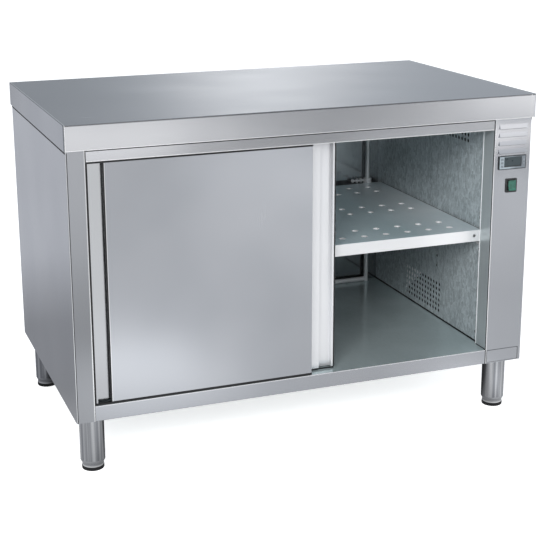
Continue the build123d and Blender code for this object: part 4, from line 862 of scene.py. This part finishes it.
def make_control_face():
    """Grey face with a pale strip on the left; the dark rim starts at a set distance from the middle."""
    finish = Finish("control_grey")
    x, _, z = finish.split(finish.place)
    grain = finish.noise(finish.place, MOULD_GRAIN)
    past_side = x.off(CONTROL_MIDDLE[0]) - CONTROL_HALF[0]
    past_end = z.off(CONTROL_MIDDLE[1]) - CONTROL_HALF[1]
    rim = past_side.most(past_end).ramp(0, CONTROL_RIM_BLUR)
    strips = finish.blend(x.ramp(*STRIP_END), CONTROL_STRIP, CONTROL_FACE)
    finish.set(base_color=finish.blend(rim, strips, CONTROL_RIM),
               roughness=CONTROL_ROUGH + (grain - 0.5) * GRAIN_ROUGH, normal=finish.bump(grain, MOULD_DEPTH))
    return finish.material


def make_display():
    """Smoked window: slate in the middle, with painted shade near black along its lower and right-hand edges.
    """
    finish = Finish("display_dark", coat_weight=0.25, coat_roughness=0.08)
    x, _, z = finish.split(finish.place)
    film = finish.noise(finish.place, 60.0)
    # Painted shade along the lower and right-hand edges.
    edge = x.ramp(*WINDOW_SHADE_RIGHT).most(z.ramp(*WINDOW_SHADE_LOW, 1, 0))
    slate = finish.blend(film.ramp(*TONES), SLATE_DARK, SLATE_PALE)
    finish.set(base_color=finish.blend(edge, slate, WINDOW_SHADE), roughness=0.30 + (film - 0.5) * 0.2)
    return finish.material


def make_rocker_green():
    """Green lens in front, black body behind: the lens is where the surface faces the front."""
    finish = Finish("rocker_green", coat_weight=0.6, coat_roughness=0.12)
    front = (finish.facing(Y_AXIS) * -1).ramp(*LENS_FACING)
    film = finish.noise(finish.place, 160.0)
    lens = finish.blend(film.ramp(*TONES), LENS_DARK, LENS_PALE)
    finish.set(base_color=finish.blend(front, ROCKER_BODY, lens), roughness=0.22 + (film - 0.5) * 0.15)
    return finish.material


control_grey, display_dark, rocker_green = make_control_face(), make_display(), make_rocker_green()
print("controls", control_grey.name, display_dark.name, rocker_green.name)

# %% [markdown]
# ## Board and wool
#
# Particle board is chips of wood pressed with glue: small flat cells of different browns. Mineral wool is
# matted yellow fibre. Cells and drawn-out noise are enough for them, because both stay out of sight until the
# table is taken apart.

# %% Board and wool
CHIPS = (220.0, 300.0, 520.0)        # chips and fibres per metre along X, Y and Z
CHIP_DARK = (0.46, 0.34, 0.21)
CHIP_PALE = (0.70, 0.57, 0.40)
FIBRES = (60.0, 700.0, 700.0)
WOOL_CLOUDS = 14.0
WOOL_DARK = (0.46, 0.38, 0.18)
WOOL_PALE = (0.80, 0.72, 0.47)


def make_board():
    """Chips are stretched cells, each with its own brown."""
    finish = Finish("board")
    chip = finish.cells(finish.stretched(*CHIPS), 1.0)
    finish.set(base_color=finish.blend(chip, CHIP_DARK, CHIP_PALE),
               roughness=0.75 + chip * 0.15, normal=finish.bump(chip, 0.0002))
    return finish.material


def make_wool():
    """Fibres are noise drawn out along X, over slow clouds of yellow."""
    finish = Finish("mineral_wool", sheen_weight=0.3)
    fibre = finish.noise(finish.stretched(*FIBRES), 1.0, 3.0)
    cloud = finish.noise(finish.place, WOOL_CLOUDS)
    finish.set(base_color=finish.blend(fibre * 0.6 + cloud * 0.4, WOOL_DARK, WOOL_PALE),
               roughness=0.85 + fibre * 0.1, normal=finish.bump(fibre, 0.0008))
    return finish.material


board, mineral_wool = make_board(), make_wool()
print("hidden", board.name, mineral_wool.name)

# %% [markdown]
# ## Which piece wears which finish
#
# The grain follows how each sheet was brushed: along the worktop, upright on the doors and the panels. The
# legs were polished round, so their fine grain runs across the upright axis, over the streaks.

# %% Dress the CAD nodes
DRESS = {
    worktop_sheet: ["worktop"],
    satin_header: ["header_fascia"],
    post_sheet: ["left_side_panel"],
    satin_left_door: ["left_door_front"],
    column_sheet: ["control_column"],
    floor_sheet: ["floor_pan"],
    back_sheet: ["back_panel"],
    shelf_sheet: ["shelf"],
    satin_upright: ["right_side_panel", "right_door_front", "left_door_back", "right_door_back"],
    polished_legs: ["leg_tubes"],
    foot_steel: ["foot_front_left", "foot_front_right", "foot_rear_left", "foot_rear_right"],
    rod_steel: ["rear_rods", "shelf_clips"],
    left_grip_steel: ["left_door_grip"],
    right_grip_steel: ["right_door_grip"],
    galvanised: ["ceiling_panel", "inner_right_wall", "inner_left_wall", "door_track", "fan_housing",
                 "worktop_stiffeners"],
    board: ["worktop_core"],
    mineral_wool: ["left_insulation", "left_door_core", "right_door_core"],
    control_grey: ["controller_body"],
    display_dark: ["controller_window"],
    rocker_green: ["switch_rocker"],
    switch_black: ["switch_body"],
    black_rubber: ["door_buffers"] + [n for n in nodes if n.startswith("pad_")],
    moulded["nylon"]: ["door_guides"] + [n for n in nodes if n.endswith("_wheel")],
    moulded["button_grey"]: [n for n in nodes if n.startswith("button_")],
    moulded["motor_grey"]: ["fan_impeller", "fan_motor"],
    moulded["heater_dark"]: ["heating_element"],
    moulded["terminal_cream"]: ["safety_thermostat", "terminal_block"],
    moulded["gland_grey"]: ["cable_gland"],
    moulded["screw_zinc"]: ["panel_screws", "left_door_hangers", "right_door_hangers"],
}
dressed = set()
for finish, names in DRESS.items():
    for name in names:
        nodes[name].data.materials.clear()
        nodes[name].data.materials.append(finish)
        dressed.add(name)
print("dressed", len(dressed), "bare", sorted(set(nodes) - dressed))

# %% [markdown]
# ## Thin trim
#
# Where two sheets meet or a door leaves a gap, shade falls in a thin dark line. Black strips stand in for
# that shade, a painted shade: under the worktop, along the floor, round the doors, in the left grip and under
# the louvres' lips. Some lie where a real cupboard has sealant or brushes. They are too thin for the CAD
# model. Each is a profile carried along a straight path, worked out with numpy as whole arrays, and each
# rides the body that it is stuck to, so that it moves with its door.

# %% Profiles and paths
MM = 0.001
RIGHT, BACK, UP = np.eye(3)


def oblong(width, height):
    """Corners of a rectangle, anticlockwise from (0, 0)."""
    return np.array([(0, 0), (width, 0), (width, height), (0, height)], float)


def rounded(width, height, radius, steps=6):
    """Rectangle with round corners: quarter circles about the four inner corners, anticlockwise."""
    turn = np.linspace(0, np.pi / 2, steps)
    corners = np.array([(width - radius, height - radius), (radius, height - radius),
                        (radius, radius), (width - radius, radius)])
    angle = turn[None] + np.arange(4)[:, None] * np.pi / 2
    return (corners[:, None] + radius * np.stack([np.cos(angle), np.sin(angle)], 2)).reshape(-1, 2)


def cove(radius, steps=7):
    """Bead in a corner: the corner itself, then a hollow quarter circle from one wall to the other."""
    turn = np.linspace(0, np.pi / 2, steps)
    hollow = radius * np.stack([1 - np.sin(turn), 1 - np.cos(turn)], 1)
    return np.concatenate([[(0.0, 0.0)], hollow])


def carry(profile, start, across, rise, length):
    """Profile points start + u * across + v * rise, carried along across x rise, with both ends closed;
    lengths in mm."""
    along = np.cross(across, rise)
    ring = np.array(start) + profile[:, :1] * across + profile[:, 1:] * rise
    near = np.arange(len(profile))
    after = np.roll(near, -1)
    sides = np.stack([near, after, after + len(profile), near + len(profile)], 1)
    ends = [near[::-1].tolist(), (near + len(profile)).tolist()]
    return np.concatenate([ring, ring + along * length]) * MM, sides.tolist() + ends


def bar(xa, xb, ya, yb, za, zb):
    """Plain bar between two corners, in mm."""
    return carry(oblong(xb - xa, yb - ya), (xa, ya, za), RIGHT, BACK, zb - za)


def make_piece(name, body, slot, finish, *runs):
    """One mesh of several runs, riding a body."""
    starts = np.cumsum([0] + [len(points) for points, faces in runs])
    points = np.concatenate([points for points, faces in runs])
    faces = [(np.array(face) + start).tolist() for start, run in zip(starts, runs) for face in run[1]]
    mesh = bpy.data.meshes.new(name)
    mesh.from_pydata(points.tolist(), [], faces)
    mesh.materials.append(finish)
    piece = bpy.data.objects.new(name, mesh)
    scene.collection.objects.link(piece)
    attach(piece, body)
    print(name, "runs", len(runs), "faces", len(faces))


print("profiles ready")

# %% Painted shade lines on the body
# Places in mm
FRONT = -340              # front of the body's sheets
BODY_LEFT, BODY_RIGHT, BODY_BACK, BODY_LOW = -596, 596, 346, 140
DOORWAY_LEFT, DOORWAY_RIGHT = -552, 492
RAIL_TOP, HEADER_LOW = 178, 762
SLAB_LOW = 790            # underside of the worktop
JOINT_TOP = 785.5         # where the upright lines end below it
# The worktop's bead is a black strip that draws the shadow line under the worktop: a painted shadow.
BEAD = 0.4                # how far the worktop's sealant stands out; then where it starts, piece by piece
HEADER_BEAD_LOW, POST_BEAD_LOW, SIDE_BEAD_LOW = 786, 788.6, 783
LOUVRE_LIPS = (764, 743, 722, 701)
WALL_FACE, WALL_FRONT = 500, -286

# Painted shadow: black beads under the worktop's edges draw the shadow line between it and the body.
make_piece("worktop_shadow_bead", "cabinet", "black_rubber", black_rubber,
           bar(DOORWAY_LEFT, DOORWAY_RIGHT, FRONT - BEAD, FRONT, HEADER_BEAD_LOW, SLAB_LOW),
           bar(BODY_LEFT, DOORWAY_LEFT, FRONT - BEAD, FRONT, POST_BEAD_LOW, SLAB_LOW),
           bar(DOORWAY_RIGHT, BODY_RIGHT, FRONT - BEAD, FRONT, POST_BEAD_LOW, SLAB_LOW),
           bar(BODY_LEFT - BEAD, BODY_LEFT, FRONT, BODY_BACK, SIDE_BEAD_LOW, SLAB_LOW),
           bar(BODY_RIGHT, BODY_RIGHT + BEAD, FRONT, BODY_BACK, SIDE_BEAD_LOW, SLAB_LOW),
           bar(BODY_LEFT, BODY_RIGHT, BODY_BACK, BODY_BACK + BEAD, SIDE_BEAD_LOW, SLAB_LOW))
# Painted shade: black lines at the header's ends, at the rail's ends, along the post's front, beside the
# column's edge and under each louvre's lip, where shade falls in the gaps.
make_piece("front_shadow_lines", "cabinet", "black_rubber", black_rubber,
           bar(DOORWAY_LEFT, -549.6, -340.3, FRONT, HEADER_LOW, JOINT_TOP),
           bar(489.6, DOORWAY_RIGHT, -340.3, FRONT, HEADER_LOW, JOINT_TOP),
           bar(DOORWAY_LEFT, -551, -340.2, FRONT, BODY_LOW, RAIL_TOP),
           bar(489.8, DOORWAY_RIGHT, -340.3, FRONT, BODY_LOW, RAIL_TOP),
           bar(-593.4, -591.8, -340.2, FRONT, 140.5, JOINT_TOP),
           bar(491.6, DOORWAY_RIGHT, -339.4, -336.4, 180, 761),
           *(bar(506, 582, -340.2, FRONT, lip - 1.4, lip) for lip in LOUVRE_LIPS))
# Painted shade: black beads in the corner of the floor and the inner wall, and at the doorway's foot, where a
# real cupboard may have sealant, draw the shade in those corners.
make_piece("floor_shade_beads", "cabinet", "black_rubber", black_rubber,
           carry(cove(3.0), (WALL_FACE, WALL_FRONT, RAIL_TOP), -RIGHT, UP, 630),
           carry(cove(1.6), (DOORWAY_RIGHT, -338, RAIL_TOP), -RIGHT, UP, 52))

# %% [markdown]
# ## Behind the grilles and round the shelf
#
# The two grilles in the inner wall show black holes, because a dark filter mat lies behind them. A small
# bright shield covers a corner of the lower mat, so a few holes there are paler. Dark strips along the
# shelf's right end and beside its front corner draw the shade in the gap to the wall, a painted shade. Plain
# bars will do for the mats and the strips, because only a face or an edge of them shows.

# %% Mats, shield and shelf shade strips
MAT_FACE = (501.5, 501.9)
SHIELD_CORNERS = np.array([(44.0, 281.0), (137.0, 205.0), (137.0, 281.0)])     # y and z
SHIELD_FACE, SHIELD_THICK = 501.3, 0.15

make_piece("filter_mats", "cabinet", "black_rubber", black_rubber,
           bar(*MAT_FACE, -65, 137, 193, 281), bar(*MAT_FACE, -200, 12, 700, 763))
make_piece("heat_shield", "cabinet", "bright_steel", rod_steel,
           carry(SHIELD_CORNERS, (SHIELD_FACE, 0, 0), BACK, UP, SHIELD_THICK))
# Painted shade: dark strips along the shelf's right end and beside its front corner draw the shade in the gap
# to the wall.
make_piece("shelf_gap_shade", "shelf", "black_rubber", black_rubber,
           bar(495, 496.4, -284, 314, 488.6, 491.2), bar(493, 495, -285.3, -285, 461.6, 490.4))

# %% [markdown]
# ## Shade bars, grip strip and flange on the doors
#
# Black bars along each door's edges fill the gaps round it and draw the shade there, a painted shade; a
# real door may carry brushes in such places. A black strip down the left grip's channel and across its foot
# is painted shade too, and the right grip has a bright flange beside the channel. Hair curves could make
# bristles, but they would be too fine to tell apart from here, so each is a plain dark bar.

# %% Shade bars, grip strip and flange on the doors
DOOR_SPAN = (181.5, 758.5)           # height of both doors
LEFT_FACE, LEFT_START, LEFT_END = -337, -549, -1
RIGHT_FACE, RIGHT_START, RIGHT_END = -311, -479, 69
# The door bars below are black to draw the shade in the gaps round each door: painted shade.
SHADE_BAR_REACH = -551.4                   # how far the left door's end brush reaches
STRIP_START = -512.2

# Painted shade: black bars along the left door's top, foot and end draw the shade in its gaps.
make_piece("left_door_shade_bars", "left_door", "black_rubber", black_rubber,
           bar(LEFT_START, LEFT_END, -338.4, -337.2, 757.6, 761.5),
           bar(LEFT_START, LEFT_END, -338.4, -337.2, 178.6, 183),
           bar(SHADE_BAR_REACH, LEFT_START, LEFT_FACE, -317, *DOOR_SPAN),
           bar(SHADE_BAR_REACH, -546.8, -337.4, LEFT_FACE, *DOOR_SPAN))
# Painted shade: a black strip down the left grip's channel and one across its foot.
make_piece("left_grip_shade_strip", "left_door", "black_rubber", black_rubber,
           bar(STRIP_START, -508.8, -337.3, -335.4, *DOOR_SPAN),
           bar(-543, STRIP_START, -336, -333, DOOR_SPAN[0], 183.2))
# Painted shade: black bars along the right door's foot and grip end.
make_piece("right_door_shade_bars", "right_door", "black_rubber", black_rubber,
           bar(RIGHT_START, RIGHT_END, -312.2, -311.2, 178.6, 182.5),
           bar(RIGHT_END, 70.6, RIGHT_FACE, -291, *DOOR_SPAN),
           bar(67.4, 70.6, -311.4, RIGHT_FACE, *DOOR_SPAN))
make_piece("right_grip_flange", "right_door", "bright_steel", right_grip_steel,
           bar(4, 29, -311.4, RIGHT_FACE, *DOOR_SPAN))

# %% [markdown]
# ## Bright edge and bare plate
#
# A bright bead runs up the column's return beside the inner wall: a painted highlight that draws the bend's
# thin bright line. At the column's foot sits a small bare plate: a rounded sheet on a slightly larger dark
# backing, which shows mostly along the plate's right side as a painted shadow. These profiles have round
# corners, because a sharp one would catch no light.

# %% Bright edge and bare plate
# Painted highlight: a bright bead up the column's return draws the bend's thin bright line.
make_piece("return_highlight_bead", "cabinet", "bright_steel", rod_steel,
           carry(rounded(2.6, 2.0, 0.9), (490.8, -287.4, 178.5), RIGHT, BACK, 582.5))
# Painted shadow: the dark backing is larger than the plate mostly to its right, where it draws the plate's
# shadow.
make_piece("plate_shadow_backing", "cabinet", "switch_black", switch_black,
           carry(rounded(93.4, 34, 2.0), (494.6, FRONT, 142.4), RIGHT, UP, 0.3))
make_piece("bare_plate", "cabinet", "bright_steel", satin_along_x,
           carry(rounded(90.6, 31.8, 1.6), (495.3, -340.3, 143.6), RIGHT, UP, 0.5))
